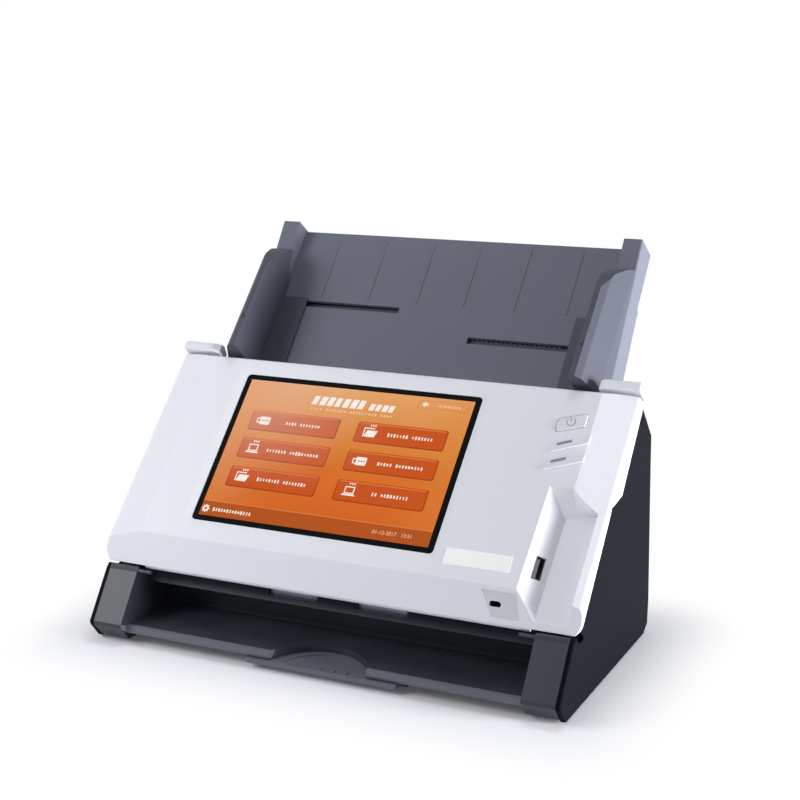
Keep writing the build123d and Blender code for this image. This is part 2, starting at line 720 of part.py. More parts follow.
def make_shaft(v, w, right_end):
    shaft = rod(v, w, shaft_radius, -post_inner_x - 5.0, right_end)
    groove = ring(v, w, shaft_radius + 1, shaft_radius - 0.5, -post_inner_x - 4.4, -post_inner_x - 3.6)
    return shaft - groove


def make_tyres(v, w, radius, centres, width):
    tyres = []
    for x in centres:
        tyre = ring(v, w, radius, shaft_radius, x - width / 2, x + width / 2)
        tyres.append(chamfer(tyre.edges().filter_by(GeomType.CIRCLE).group_by(SortBy.RADIUS)[-1], 0.5))
    return tyres


gear_x = 136.0
belt_width = 5.0


def slope_gear(v, w, teeth, x0, x1, bore, turn=0.0):
    face = Rot(0, 0, turn) * gear_face(teeth, 1.0, bore)
    return extrude(Plane.YZ.offset(x0) * Pos(v, w) * face, amount=x1 - x0)


def make_drive_gears():
    """Gear and two belt pulleys on the drive shaft, outside the inner wall."""
    v, w = shaft_places()[1]
    gear = slope_gear(v, w, drive_gear_teeth, 132.6, 135.6, shaft_radius, gear_line_angle())
    exit_pulley_ratio = exit_radius / drive_radius
    gear += ring(v, w, exit_pulley_radius / exit_pulley_ratio, shaft_radius, 135.6, 140.6)
    gear += ring(v, w, motor_belt_pulley_radius + 0.7, shaft_radius, 140.6, 141.2)
    gear += ring(v, w, motor_belt_pulley_radius, shaft_radius, 141.2, 145.4)
    return gear


def make_idler_gear():
    v, w = idler_place()
    return slope_gear(v, w, idler_gear_teeth, 132.6, 135.6, 2.5 + running_gap, gear_line_angle())


def make_feed_gears():
    v, w = shaft_places()[0]
    turn = gear_line_angle() + 180 / feed_gear_teeth
    return slope_gear(v, w, feed_gear_teeth, 132.6, 135.6, shaft_radius, turn) + ring(v, w, 5.0, shaft_radius, 135.6, 139.0)


def make_exit_pulley():
    v, w = shaft_places()[2]
    pulley = ring(v, w, exit_pulley_radius, shaft_radius, 135.7, 140.5)
    return pulley + ring(v, w, exit_pulley_radius + 0.8, shaft_radius, 140.5, 141.2)


def belt_loop(a, b, ra, rb, x0, x1):
    """Closed belt round two pulleys, a small gap off each."""
    (ya, za), (yb, zb) = a, b
    dist = ((yb - ya) ** 2 + (zb - za) ** 2) ** 0.5
    uy, uz = (yb - ya) / dist, (zb - za) / dist

    def hull(grow):
        a_r, b_r = ra + grow, rb + grow
        c = (a_r - b_r) / dist
        s = (1 - c * c) ** 0.5
        points = []
        for sign in (1, -1):
            ny = uy * c - sign * uz * s
            nz = uz * c + sign * uy * s
            points.append(((ya + a_r * ny, za + a_r * nz), (yb + b_r * ny, zb + b_r * nz)))
        quad = make_face(Polyline(points[0][0], points[0][1], points[1][1], points[1][0], close=True))
        return quad + Pos(ya, za) * Circle(a_r) + Pos(yb, zb) * Circle(b_r)

    return prism_face(hull(belt_gap + belt_thickness) - hull(belt_gap), x0, x1)


def motor_slope_place():
    a = radians(slope_angle)
    dy, dz = motor_y - cover_top_y, motor_z - cover_top_z
    return dy * cos(a) + dz * sin(a), -dy * sin(a) + dz * cos(a)


def make_motor():
    """Motor whose flange sits on the right side box, its spindle running through the wall."""
    front = post_inner_x - 0.1
    body = rod(motor_y, motor_z, 17.0, front - 38.0, front - 1.6)
    body = chamfer(body.edges().filter_by(GeomType.CIRCLE), 1.0)
    body += block(front - 1.6, front, motor_y - 24.0, motor_y + 24.0, motor_z - 6, motor_z + 6)
    body += rod(motor_y, motor_z, 5.0, front, front + 2.4)
    body += rod(motor_y, motor_z, 9.0, front - 40.2, front - 37.8)
    body += block(front - 32, front - 20, motor_y - 5, motor_y + 5, motor_z + 16.0, motor_z + 20)
    return body


def make_motor_spindle():
    spindle = rod(motor_y, motor_z, 2.5, post_inner_x + 2.5, 146.2)
    spindle += rod(motor_y, motor_z, motor_pulley_radius, 141.3, 145.6)
    return spindle + rod(motor_y, motor_z, motor_pulley_radius + 0.9, 145.6, 146.2)


def make_main_board():
    board = block(-112, 28, -6, 64.6, 10.0, 11.6)
    for x, y in board_screw_places:
        board -= Pos(x, y, 11) * Cylinder(1.4, 6)
    board += block(-64, -38, 8, 32, 11.6, 13.4)
    board += block(-20, -4, 22, 38, 11.6, 13.0)
    board += block(-104, -90, 8, 24, 11.6, 20.0)
    for i in range(4):
        board += Pos(-34 + i * 11, -1, 15.6) * Cylinder(3.6, 8.2)
    board += block(0, 16, 44, 50, 11.6, 17)
    return board


def make_power_jack():
    jack = block(-105, -95, 52, 66.4, 11.7, 20.6)
    jack += Pos(-100, 67.4, 16) * Rot(90, 0, 0) * Cylinder(4.4, 2.2)
    jack -= Pos(-100, 63, 16) * Rot(90, 0, 0) * Cylinder(2.8, 14)
    return jack + Pos(-100, 61, 16) * Rot(90, 0, 0) * Cylinder(1.0, 12)


def make_network_jack():
    jack = block(-82, -66, 50, 69.2, 11.7, 23.2)
    jack -= block(-79.8, -68.2, 56, 70, 12.8, 19.6)
    jack -= block(-76.8, -71.2, 56, 70, 19.4, 21.6)
    return jack


def make_service_socket():
    socket = block(-50, -38, 52, 69.2, 11.7, 21.2)
    socket -= block(-48.2, -39.8, 58, 70, 12.9, 19.8)
    socket += block(-46.6, -41.4, 58, 67.6, 15.0, 17.6)
    return socket


def make_hinge_pins():
    pin = rod(hinge_v, hinge_w, hinge_pin_radius, 117.4, 134.4)
    pin = chamfer(pin.edges().filter_by(GeomType.CIRCLE), 0.3)
    return [pin, mirror(pin, about=Plane.YZ)]


def make_feet():
    feet = []
    for x in (-136.0, 136.0):
        for y in (-54.0, 54.0):
            foot = Pos(x, y, 1.0) * Cylinder(7.0, 2.0)
            feet.append(chamfer(foot.faces().sort_by(Axis.Z)[0].edges(), 0.5))
    return feet


def make_pull_stop():
    plate = block(stop_x - stop_half_width, stop_x + stop_half_width, stop_front_y + 2, stop_back_y,
                  stop_bottom_z, stop_bottom_z + stop_thickness)
    front = prism([(stop_front_y, 3.4), (stop_front_y + 4.0, 3.4), (stop_front_y + 4.0, 6.3), (stop_front_y, 6.3)],
                  stop_x - stop_half_width, stop_x + stop_half_width)
    stop = plate + front
    corners = [e for e in stop.edges().filter_by(Axis.Z) if e.center().Y < stop_front_y + 1]
    stop = fillet(corners, 2.0)
    thumb = Pos(scoop_x, scoop_centre_y + 5.0, 6.6) * Cylinder(scoop_radius - 9.0, 1.6)
    thumb &= block(-40, 44, stop_front_y + 3, stop_back_y, 5.4, 6.4)
    stop -= thumb
    return stop


def tray_floor_w(v):
    return tray_floor_w0 + tray_floor_rise * v


def make_feeder_tray():
    side_points = [(-2.0, tray_floor_w(-2.0)), (8.0, tray_floor_w(8.0))] + tray_front + tray_back
    side_outline = make_face(Polyline(*side_points, close=True))
    centre_points = [(-2.0, tray_floor_w(-2.0)), (110.4, tray_floor_w(110.4))] + tray_back
    centre_outline = make_face(Polyline(*centre_points, close=True))
    tray = prism_face(centre_outline, -tray_half_width, tray_half_width)
    tray += both_sides(prism_face(side_outline, tray_wall_inner_x, tray_half_width))
    rim = [e for e in tray.edges() if abs(abs(e.center().X) - tray_half_width) < 0.1 and e.center().Y > 13.0
           and e.center().Z > -26.0]
    tray = fillet(rim, 1.4)
    inside = tray_half_width - tray_wall
    tray -= prism_face(offset(centre_outline, -tray_wall), -inside, inside)
    tray -= both_sides(prism_face(offset(side_outline, -tray_wall), tray_wall_inner_x + tray_wall, inside))
    # Slots that the two guides' stems run in
    for side in (-1, 1):
        v = rack_pinion_v - side * rack_offset
        x0, x1 = sorted((side * 26.0, side * 109.8))
        tray -= block(x0, x1, v - 2.2, v + 2.2, -28, -18)
    # Notch for the feed roller, tabs into the rear cover and shallow ribs that carry the sheets
    tray -= block(-32, 32, -8, 1.5, -34, -20)
    tray += both_sides(block(88, 108, -11, -1, -36.4, -34.0))
    for x in (-84.0, -50.0, -16.0, 16.0, 50.0, 84.0):
        tray += prism([(62, tray_floor_w(62) - 0.5), (62, tray_floor_w(62) + 0.3), (106, tray_floor_w(106) + 0.3),
                       (106, tray_floor_w(106) - 0.5)], x - 0.8, x + 0.8)
    # Spindle of the pinion under the floor
    w = tray_floor_w(rack_pinion_v) - tray_wall
    tray += Pos(0, rack_pinion_v, w - 1.9) * Cylinder(2.4, 4.6)
    return tray


def rack_teeth(x0, x1, pitch_v, toward):
    """Row of tapered rack teeth along X, one of them centred on X = 0."""
    step = pi * rack_module
    root = pitch_v - toward * 1.45 * rack_module
    tip = pitch_v + toward * 0.8 * rack_module
    first = int((x0 + 1.0) / step) - (x0 < 0)
    centres = [i * step for i in range(first, int(x1 / step) + 1) if x0 < i * step - 1.0 and i * step + 1.0 < x1]
    teeth = [
        make_face(Polyline((x - 0.95, root), (x - 0.36, tip), (x + 0.36, tip), (x + 0.95, root), close=True))
        for x in centres
    ]
    return sum(teeth[1:], teeth[0])


def make_paper_guide(rack_side):
    """Guide for the right of the tray, with its rack below (+1) or above (-1) the pinion."""
    low = [(guide_low_v, -23.8 + guide_gap), (13.9, -23.8 + guide_gap), (88.6, -11.66 + guide_gap)]
    profile = make_face(
        Polyline(*low, (88.6, -8.4), (84.5, -3.0), (76.0, 4.6), (64.0, guide_top_w), (guide_low_v, guide_top_w),
                 close=True)
    )
    profile = fillet([v for v in profile.vertices() if 60 < v.X < 86], 6.0)
    x = guide_inner_x
    section = make_face(
        Polyline((x, -40), (x, guide_top_w - 1.2), (x + 1.2, guide_top_w), (x + 4.0, guide_top_w), (x + 7.6, 6.2),
                 (x + 13.8, -9.0), (x + 13.8, -40), close=True)
    )
    section = fillet([v for v in section.vertices() if abs(v.X - x - 7.6) < 0.1], 3.0)
    cap = prism_face(profile, x, x + 13.8) & extrude(Plane.XZ * section, amount=-100)
    inside = make_face(
        Polyline((guide_low_v + guide_wall, -45), (guide_low_v + guide_wall, guide_top_w - guide_wall),
                 (62.0, guide_top_w - guide_wall), (74.0, 3.0), (82.0, -4.0), (86.4, -9.4), (86.4, -45), close=True)
    )
    cap -= prism_face(inside, x, x + 13.8) & extrude(Plane.XZ * offset(section, -guide_wall), amount=-100)
    gap = 0.35
    wall = make_face(
        Polyline((guide_low_v, tray_floor_w(guide_low_v) + gap), (70.0, tray_floor_w(70) + gap), (84.0, -9.0),
                 (76.0, 2.0), (64.0, guide_top_w - 1.5), (guide_low_v, guide_top_w - 1.5), close=True)
    )
    guide = cap + prism_face(wall, x, x + guide_wall)
    foot = [(6.0, tray_floor_w(6) + gap), (60.0, tray_floor_w(60) + gap), (60.0, tray_floor_w(60) + gap + 1.0),
            (6.0, tray_floor_w(6) + gap + 1.0)]
    guide += prism(foot, x - 18.0, x + guide_wall)
    # Stem through the tray floor and the rack below it
    rack_v = rack_pinion_v - rack_side * rack_offset
    under = tray_floor_w(rack_pinion_v) - tray_wall - 0.6
    guide += block(102.0, 106.0, rack_v - 1.8, rack_v + 1.8, under - 1.0, tray_floor_w(rack_v) + gap + 0.5)
    pitch_v = rack_pinion_v - rack_side * pinion_teeth * rack_module / 2
    v0, v1 = sorted((rack_v - rack_side * rack_width / 2, pitch_v - rack_side * 1.15))
    bar = block(-rack_reach, 106.0, v0, v1, under - 2.6, under - 0.2)
    teeth = rack_teeth(-rack_reach + 0.5, 86.0, pitch_v, rack_side)
    return guide + bar + extrude(Pos(0, 0, under - 2.6) * teeth, amount=2.4)





def make_pinion():
    under = tray_floor_w(rack_pinion_v) - tray_wall - 0.6
    face = Rot(0, 0, -90 + 180 / pinion_teeth) * gear_face(pinion_teeth, rack_module, 2.4 + running_gap)
    return extrude(Pos(0, rack_pinion_v, under - 2.6) * face, amount=2.4)


flag_place = (-38.0, -31.0)


def make_sheet_flag():
    """Small lever in the sheet path that tells when a sheet has arrived."""
    v, w = flag_place
    flag = rod(v, w, 2.2, 47.9, 52.1)
    flag += prism([(v - 1.6, w), (v + 1.6, w), (v + 3.8, w + 7.2), (v + 2.4, w + 8.4), (v, w + 6.8)], 48.6, 51.4)
    flag += rod(v, w, 1.2, 44.0, 58.0)
    return flag + prism([(v - 1.0, w), (v + 1.0, w), (v, w - 8.0), (v - 2.4, w - 8.0)], 54.5, 56.0)


def make_flag_bracket():
    v, w = flag_place
    top = lower_guide_w - guide_plate
    ends = block(43.2, 45.4, v - 4, v + 4, w - 3.2, top) + block(57.0, 59.2, v - 4, v + 4, w - 3.2, top)
    back = block(43.2, 59.2, v - 9.6, v - 8.0, w - 3.2, top)
    side = block(43.2, 45.4, v - 9.6, v - 4, w - 3.2, top) + block(57.0, 59.2, v - 9.6, v - 4, w - 3.2, top)
    return ends + back + side - rod(v, w, 1.2 + running_gap, 40, 64)


def screw(length, head_radius, thread_radius):
    body = Cylinder(thread_radius, length, align=(Align.CENTER, Align.CENTER, Align.MIN))
    head = Pos(0, 0, -1.6) * Cylinder(head_radius, 1.6, align=(Align.CENTER, Align.CENTER, Align.MIN))
    cross = Pos(0, 0, -1.6) * (Box(0.7, 2.6, 1.6) + Box(2.6, 0.7, 1.6))
    return body + head - cross


def make_cover_screws():
    return [Pos(x, v, -19.0) * screw(13.0, 2.6, 1.25) for x, v in cover_screw_places]


def make_board_screws():
    return [Pos(x, y, 11.65) * Rot(180, 0, 0) * screw(6.0, 2.4, 1.05) for x, y in board_screw_places]


def save_cover():
    save("cover_shell", tilt * make_cover_shell())
    save("cover_inner_frame", tilt * make_inner_frame())
    save("display_glass", tilt * make_glass())
    save("display_module", tilt * make_display_module())
    save("control_board", tilt * make_control_board())
    save("button_board", tilt * make_button_board())
    save("front_label", tilt * make_label())
    save("power_button", tilt * make_power_button())
    save("status_lights", [tilt * s for s in make_status_lights()])
    save("usb_socket", tilt * make_usb_socket())
    save("release_shaft", tilt * make_release_shaft())
    save("release_ears", [tilt * s for s in make_release_ears()])
    save("latch_hooks", [tilt * s for s in make_latch_hooks()])
    save("separation_pad", tilt * make_separation_pad())
    save("separation_holder", tilt * make_separation_holder())
    save("cover_screws", [tilt * s for s in make_cover_screws()])
    body, glass = make_sensor(1)
    save("upper_image_sensor", tilt * body)
    save("upper_sensor_glass", tilt * glass)
    pinch_w = path_w + nip_gap + pinch_radius
    save("drive_pinch_shaft", tilt * rod(drive_v, pinch_w, pinch_shaft_radius, -106, 106))
    save("exit_pinch_shaft", tilt * rod(exit_v, pinch_w, pinch_shaft_radius, -52, 52))
    save("drive_pinch_rollers", [tilt * s for s in make_cover_pinches(drive_v, drive_tyre_centres, 16)])
    save("exit_pinch_rollers", [tilt * s for s in make_cover_pinches(exit_v, exit_tyre_centres, 26)])


def save_drive():
    feed, drive, exit_place = shaft_places()
    save("feed_roller_shaft", tilt * make_shaft(feed[0], feed[1], 139.5))
    save("feed_roller_tyres", [tilt * s for s in make_tyres(*feed, feed_radius, feed_tyre_centres, feed_tyre_width)])
    save("feed_gear", tilt * make_feed_gears())
    save("drive_roller_shaft", tilt * make_shaft(drive[0], drive[1], 146.0))
    save("drive_roller_tyres",
         [tilt * s for s in make_tyres(*drive, drive_radius, drive_tyre_centres, drive_tyre_width)])
    save("drive_gear", tilt * make_drive_gears())
    save("idler_gear", tilt * make_idler_gear())
    save("exit_roller_shaft", tilt * make_shaft(exit_place[0], exit_place[1], 141.6))
    save("exit_roller_tyres",
         [tilt * s for s in make_tyres(*exit_place, exit_radius, exit_tyre_centres, exit_tyre_width)])
    save("exit_pulley", tilt * make_exit_pulley())
    save("motor", make_motor())
    save("motor_spindle", make_motor_spindle())
    save("exit_belt", tilt * belt_loop(drive, exit_place, exit_pulley_radius * drive_radius / exit_radius,
                                      exit_pulley_radius, 135.9, 140.3))
    save("motor_belt", tilt * belt_loop(motor_slope_place(), drive, motor_pulley_radius,
                                       motor_belt_pulley_radius, 141.5, 145.2))
    save("shaft_bushes", [tilt * s for s in make_bushes()])


def save_base():
    save("base_housing", make_base_housing())
    save("side_panel_left", make_side_panel(-1))
    save("side_panel_right", make_side_panel(1))
    save("rear_cover", make_rear_cover())
    save("lower_sheet_guide", tilt * make_lower_guide())
    body, glass = make_sensor(-1)
    save("lower_image_sensor", tilt * body)
    save("lower_sensor_glass", tilt * glass)
    save("main_board", make_main_board())
    save("power_jack", make_power_jack())
    save("network_jack", make_network_jack())
    save("service_socket", make_service_socket())
    save("hinge_pins", [tilt * s for s in make_hinge_pins()])
    save("rubber_feet", make_feet())
    save("board_screws", make_board_screws())
    save("pull_out_stop", make_pull_stop())
    save("sheet_flag", tilt * make_sheet_flag())
    save("flag_bracket", tilt * make_flag_bracket())


def save_feeder():
    save("feeder_tray", tilt * make_feeder_tray())
    save("paper_guide_right", tilt * make_paper_guide(1))
    save("paper_guide_left", tilt * mirror(make_paper_guide(-1), about=Plane.YZ))
    save("guide_pinion", tilt * make_pinion())


save_cover()
save_drive()
save_base()
save_feeder()
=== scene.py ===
"""Looks of a desktop sheet-fed scanner.

Its finishes, the picture on its display, small printed marks, light, floor and camera.
"""

import json
import math

import bpy
from mathutils import Matrix, Vector


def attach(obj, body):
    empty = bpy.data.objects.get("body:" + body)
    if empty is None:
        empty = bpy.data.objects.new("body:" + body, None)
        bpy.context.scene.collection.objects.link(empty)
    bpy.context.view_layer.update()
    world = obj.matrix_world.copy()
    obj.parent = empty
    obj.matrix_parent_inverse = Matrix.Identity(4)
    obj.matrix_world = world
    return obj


# The cover's slope: millimetres across (x), up the slope (v) and out of it (w)
SLOPE_DEGREES = 44.0
SLOPE_COS = math.cos(math.radians(SLOPE_DEGREES))
SLOPE_SIN = math.sin(math.radians(SLOPE_DEGREES))
SLOPE_TOP_Y = 10.2
SLOPE_TOP_Z = 149.7

# Display: lit area, height of the glass, buttons and footer, on the slope
PICTURE_LEFT = -94.9
PICTURE_RIGHT = 55.9
PICTURE_LOW = -109.0
PICTURE_HIGH = -14.8
GLASS_TOP = -0.4
BUTTON_COLUMNS = [(-84.5, -25.5), (-12.0, 45.0)]
BUTTON_ROWS = [(-48.5, -35.5), (-67.7, -54.8), (-87.4, -74.4)]
FOOTER_TOP = -99.5
FOOTER_LINE = 0.5

# Header: two framed fields, their frame's width, the arrow in the right one, and its rows of small marks
HEADER_FIELDS = [(21.0, -22.6, 53.4, -17.0), (-92.6, -20.6, -88.6, -17.9)]
HEADER_STROKE = 0.4
HEADER_ARROW_PLACE = (25.4, -19.8)
HEADER_WORDS = [(-47.0, -30.4, [4, 7, 9, 4], 2.05), (35.0, -20.0, [8], 1.8)]

# Title: start, pitch, height and block widths of its two words, their foot and their slant
TITLE_WORDS = [
    (-48.5, 5.2, 6.0, (3.5, 4.0, 3.8, 3.3, 3.8, 4.0, 3.5)),
    (-9.8, 4.3, 4.4, (3.2, 2.9, 3.4, 3.0)),
]
TITLE_FOOT = -27.6
TITLE_SLANT = 0.22

# Words on each button as numbers of letters, their pitch, and the room left for the icon and at the right
BUTTON_WORDS = [[4, 7], [7, 7], [7, 10], [5, 9], [8, 8], [2, 9]]
LETTER_PITCH = 1.98
ICON_ROOM = 16.0
WORD_MARGIN = 1.5

# Footer: cog at the left, the row of marks beside it, and the date at the right
COG_PLACE = (-91.6, -104.5)
FOOTER_WORDS = (-86.0, -104.6, [14], 1.9)
DATE_PLACE = (19.5, -105.2)
DATE_HEIGHT = 3.3

# Layers of the picture on the glass: lower and upper height of each out of the slope
GROUND_LAYER = (-0.42, -0.38)
FOOTER_LAYER = (-0.38, -0.36)
FOOTER_LINE_LAYER = (-0.38, -0.34)
HEADER_FRAME_LAYER = (-0.38, -0.35)
HEADER_ARROW_LAYER = (-0.38, -0.34)
TITLE_LAYER = (-0.37, -0.33)
BUTTON_SHADE_LAYER = (-0.38, -0.355)
BUTTON_FACE_LAYER = (-0.37, -0.34)
BUTTON_LINE_LAYER = (-0.35, -0.335)
ICON_BACK_LAYER = (-0.34, -0.30)
ICON_FRONT_LAYER = (-0.34, -0.29)
CARD_DOT_LAYER = (-0.3, -0.27)
COG_LAYER = (-0.36, -0.33)
COG_HOLE_LAYER = (-0.34, -0.32)

# Heights of the rows of marks in the place of words
HEADER_WORDS_HEIGHT = -0.36
BUTTON_WORDS_HEIGHT = -0.32
FOOTER_WORDS_HEIGHT = -0.34

# Two wide arcs in the picture's ground: centre across and up the slope, radius in metres and strength
PICTURE_ARCS = [(10.0, -190.0, 0.122, 0.22), (-130.0, -20.0, 0.092, 0.10)]

# Display's face apart from its light: base colour and reflection
UNLIT_BLACK = (0.004, 0.004, 0.004, 1.0)
DISPLAY_REFLECTION = 0.04

# Power mark on its button: place on the slope, turn, ring, bar, and the ring's gap on each side of the bar
POWER_PLACE = (116.7, -21.6)
POWER_TURN = math.radians(17.0)
POWER_RADIUS = 2.5
POWER_STROKE = 0.45
POWER_BAR = [(-0.22, 0.2), (0.22, 0.2), (0.22, 3.0), (-0.22, 3.0)]
POWER_GAP = math.radians(38.0)
POWER_STEPS = 28
POWER_LAYER = (0.48, 0.53)

# Chevron printed on the top face of the right paper guide, on the slope
CHEVRON = [(114.0, 26.6), (111.4, 24.5), (114.0, 22.4), (114.0, 23.4), (112.6, 24.5), (114.0, 25.6)]
CHEVRON_LAYER = (9.17, 9.23)

# Grip ridges on the pull-out stop: first one's place and pitch in millimetres, count, size in metres
RIDGE_PLACE = (-12.5, -103.3, 6.45)
RIDGE_PITCH = 8.2
RIDGE_COUNT = 5
RIDGE_SIZE = (0.0016, 0.0036, 0.0009)

# Rounded edge along the front of the delivery bay, which gets a lighter charcoal as painted light, in metres
LIP_BACK = -0.1005
LIP_LOW = 0.007
LIP_HIGH = 0.012
LIP_HALF_WIDTH = 0.128

# Shallow recess in the cover's lower band: middle on the slope, depth and reach in metres, band's tilt
PANEL_PLACE = (106.0, -134.0, -4.9)
PANEL_DEPTH = 0.0007
PANEL_REACH = 0.02
BAND_TILT = math.radians(SLOPE_DEGREES + 29.4)

# Nodes whose finish isn't the plain one of their slot; the guides' darker slate is painted shade and the
# pull-out stop's lighter charcoal is painted light
OWN_FINISH = {
    "paper_guide_left": "slate_painted_shade",
    "paper_guide_right": "slate_painted_shade",
    "pull_out_stop": "charcoal_painted_light",
}

# Floor: half its side, the rectangle that the scanner covers and the shadow's reach round it, in metres
FLOOR_HALF = 15.0
FOOTPRINT_CENTRE = (0.0, -0.038, 0.0)
FOOTPRINT_HALF = (0.149, 0.069, 1.0)
SHADOW_REACH = 0.06

# Share of plain white that the floor keeps in the shadow
SHADOW_WHITE = 0.05

# Strength of the room as a light and in reflections
ROOM_LIGHT = 0.27
ROOM_REFLECTION = 0.55

# Lamps: place, point that each looks at, side of its square in metres and power in watts
LAMPS = {
    "key_light": ((-0.55, -0.45, 0.5), (0.0, -0.03, 0.1), 0.4, 3.5),
    "side_light": ((1.3, 0.0, 0.17), (0.15, 0.0, 0.1), 0.3, 34.0),
    "top_light": ((0.1, 0.15, 1.3), (0.0, -0.05, 0.05), 0.5, 3.2),
}

# Camera, fitted to the photograph's frame
CAMERA_PLACE = (0.43939, -0.8383, 0.39823)
CAMERA_TURN = 27.33488
CAMERA_LIFT = 15.63939
CAMERA_ROLL = -1.98300
CAMERA_LENS = 74.72
CAMERA_SHIFT = (0.0013, 0.003)


def on_slope(x, v, w):
    """Point of the slope's frame, in metres of the part's frame."""
    y = SLOPE_TOP_Y + SLOPE_COS * v - SLOPE_SIN * w
    z = SLOPE_TOP_Z + SLOPE_SIN * v + SLOPE_COS * w
    return (x * 0.001, y * 0.001, z * 0.001)


def in_place(x, y, z):
    """Point given in millimetres of the part's frame, in metres."""
    return (x * 0.001, y * 0.001, z * 0.001)


def shown(red, green, blue):
    """Linear colour of a colour written as it shows on a screen, 0 to 255."""
    linear = []
    for level in (red, green, blue):
        c = level / 255
        linear.append(c / 12.92 if c <= 0.04045 else ((c + 0.055) / 1.055) ** 2.4)
    return (*linear, 1.0)


# Shader nodes


def add_node(tree, kind, inputs=None, **settings):
    """Adds a node, applies its settings, and fills or links its inputs by name or number."""
    node = tree.nodes.new(kind)
    for name, value in settings.items():
        setattr(node, name, value)
    for name, value in (inputs or {}).items():
        if isinstance(value, bpy.types.NodeSocket):
            tree.links.new(value, node.inputs[name])
        else:
            node.inputs[name].default_value = value
    return node


def new_group(name, inputs, outputs):
    """Empty shader group with float or colour sockets; returns it with its input and output nodes."""
    group = bpy.data.node_groups.new(name, "ShaderNodeTree")
    for socket, value in inputs.items():
        kind = "NodeSocketFloat" if isinstance(value, float) else "NodeSocketColor"
        made = group.interface.new_socket(socket, in_out="INPUT", socket_type=kind)
        made.default_value = value
    for socket, kind in outputs.items():
        group.interface.new_socket(socket, in_out="OUTPUT", socket_type=kind)
    start = group.nodes.new("NodeGroupInput")
    end = group.nodes.new("NodeGroupOutput")
    return group, start.outputs, end.inputs


def maths(tree, operation, *values):
    """Result of one operation on numbers."""
    return add_node(tree, "ShaderNodeMath", dict(enumerate(values)), operation=operation).outputs[0]


def vector_maths(tree, operation, *values, result="Vector"):
    """Result of one operation on vectors."""
    node = add_node(tree, "ShaderNodeVectorMath", dict(enumerate(values)), operation=operation)
    return node.outputs[result]


def mix_colours(tree, amount, first, second, blend="MIX"):
    """Colour output of a mix of two colours."""
    node = add_node(tree, "ShaderNodeMix", data_type="RGBA", blend_type=blend)
    for socket, value in ((0, amount), (6, first), (7, second)):
        if isinstance(value, bpy.types.NodeSocket):
            tree.links.new(value, node.inputs[socket])
        else:
            node.inputs[socket].default_value = value
    return node.outputs[2]


def ranged(tree, value, low, high, to_low, to_high, smooth=False):
    """Value brought from one range to another, clamped."""
    node = add_node(
        tree,
        "ShaderNodeMapRange",
        {"Value": value, "From Min": low, "From Max": high, "To Min": to_low, "To Max": to_high},
        interpolation_type="SMOOTHSTEP" if smooth else "LINEAR",
    )
    return node.outputs["Result"]


def own_place(tree):
    """Place on the piece, in metres of its own frame."""
    return add_node(tree, "ShaderNodeTexCoord").outputs["Object"]


def noise(tree, place, scale, detail=2.0):
    """Noise from 0 to 1."""
    node = add_node(tree, "ShaderNodeTexNoise", {"Vector": place, "Scale": scale, "Detail": detail})
    return node.outputs["Fac"]


def make_moulded_grain():
    """Spark-eroded mould texture: fine grain for the bump, and slow drifts of colour and roughness."""
    inputs = {
        "Colour": (0.8, 0.8, 0.8, 1.0),
        "Grain Scale": 900.0,
        "Drift": 0.03,
        "Roughness": 0.45,
        "Roughness Drift": 0.05,
    }
    outputs = {"Colour": "NodeSocketColor", "Roughness": "NodeSocketFloat", "Height": "NodeSocketFloat"}
    group, given, result = new_group("moulded_grain", inputs, outputs)
    place = own_place(group)
    fine = add_node(
        group,
        "ShaderNodeTexNoise",
        {"Vector": place, "Scale": given["Grain Scale"], "Detail": 2.0, "Roughness": 0.6},
    )
    drift = maths(group, "SUBTRACT", noise(group, place, 14.0, 3.0), 0.5)
    amount = maths(group, "MULTIPLY", drift, given["Drift"])
    level = maths(group, "ADD", amount, 1.0)
    grey = add_node(group, "ShaderNodeCombineColor", {"Red": level, "Green": level, "Blue": level}).outputs[0]
    colour = mix_colours(group, 1.0, given["Colour"], grey, "MULTIPLY")
    roughness = maths(group, "MULTIPLY_ADD", drift, given["Roughness Drift"], given["Roughness"])
    group.links.new(colour, result["Colour"])
    group.links.new(roughness, result["Roughness"])
    group.links.new(fine.outputs["Fac"], result["Height"])
    return group


def make_settled_dust():
    """Thin dust that gathers on faces that look up."""
    inputs = {"Colour": (0.1, 0.1, 0.1, 1.0), "Dust": (0.5, 0.5, 0.5, 1.0), "Amount": 0.1}
    group, given, result = new_group("settled_dust", inputs, {"Colour": "NodeSocketColor"})
    normal = add_node(group, "ShaderNodeNewGeometry").outputs["Normal"]
    up = add_node(group, "ShaderNodeSeparateXYZ", {0: normal}).outputs["Z"]
    facing = ranged(group, up, 0.3, 1.0, 0.0, 1.0)
    patches = noise(group, own_place(group), 45.0, 6.0)
    spread = ranged(group, patches, 0.35, 0.7, 0.2, 1.0)
    mask = maths(group, "MULTIPLY", facing, spread)
    mask = maths(group, "MULTIPLY", mask, given["Amount"])
    group.links.new(mix_colours(group, mask, given["Colour"], given["Dust"]), result["Colour"])
    return group


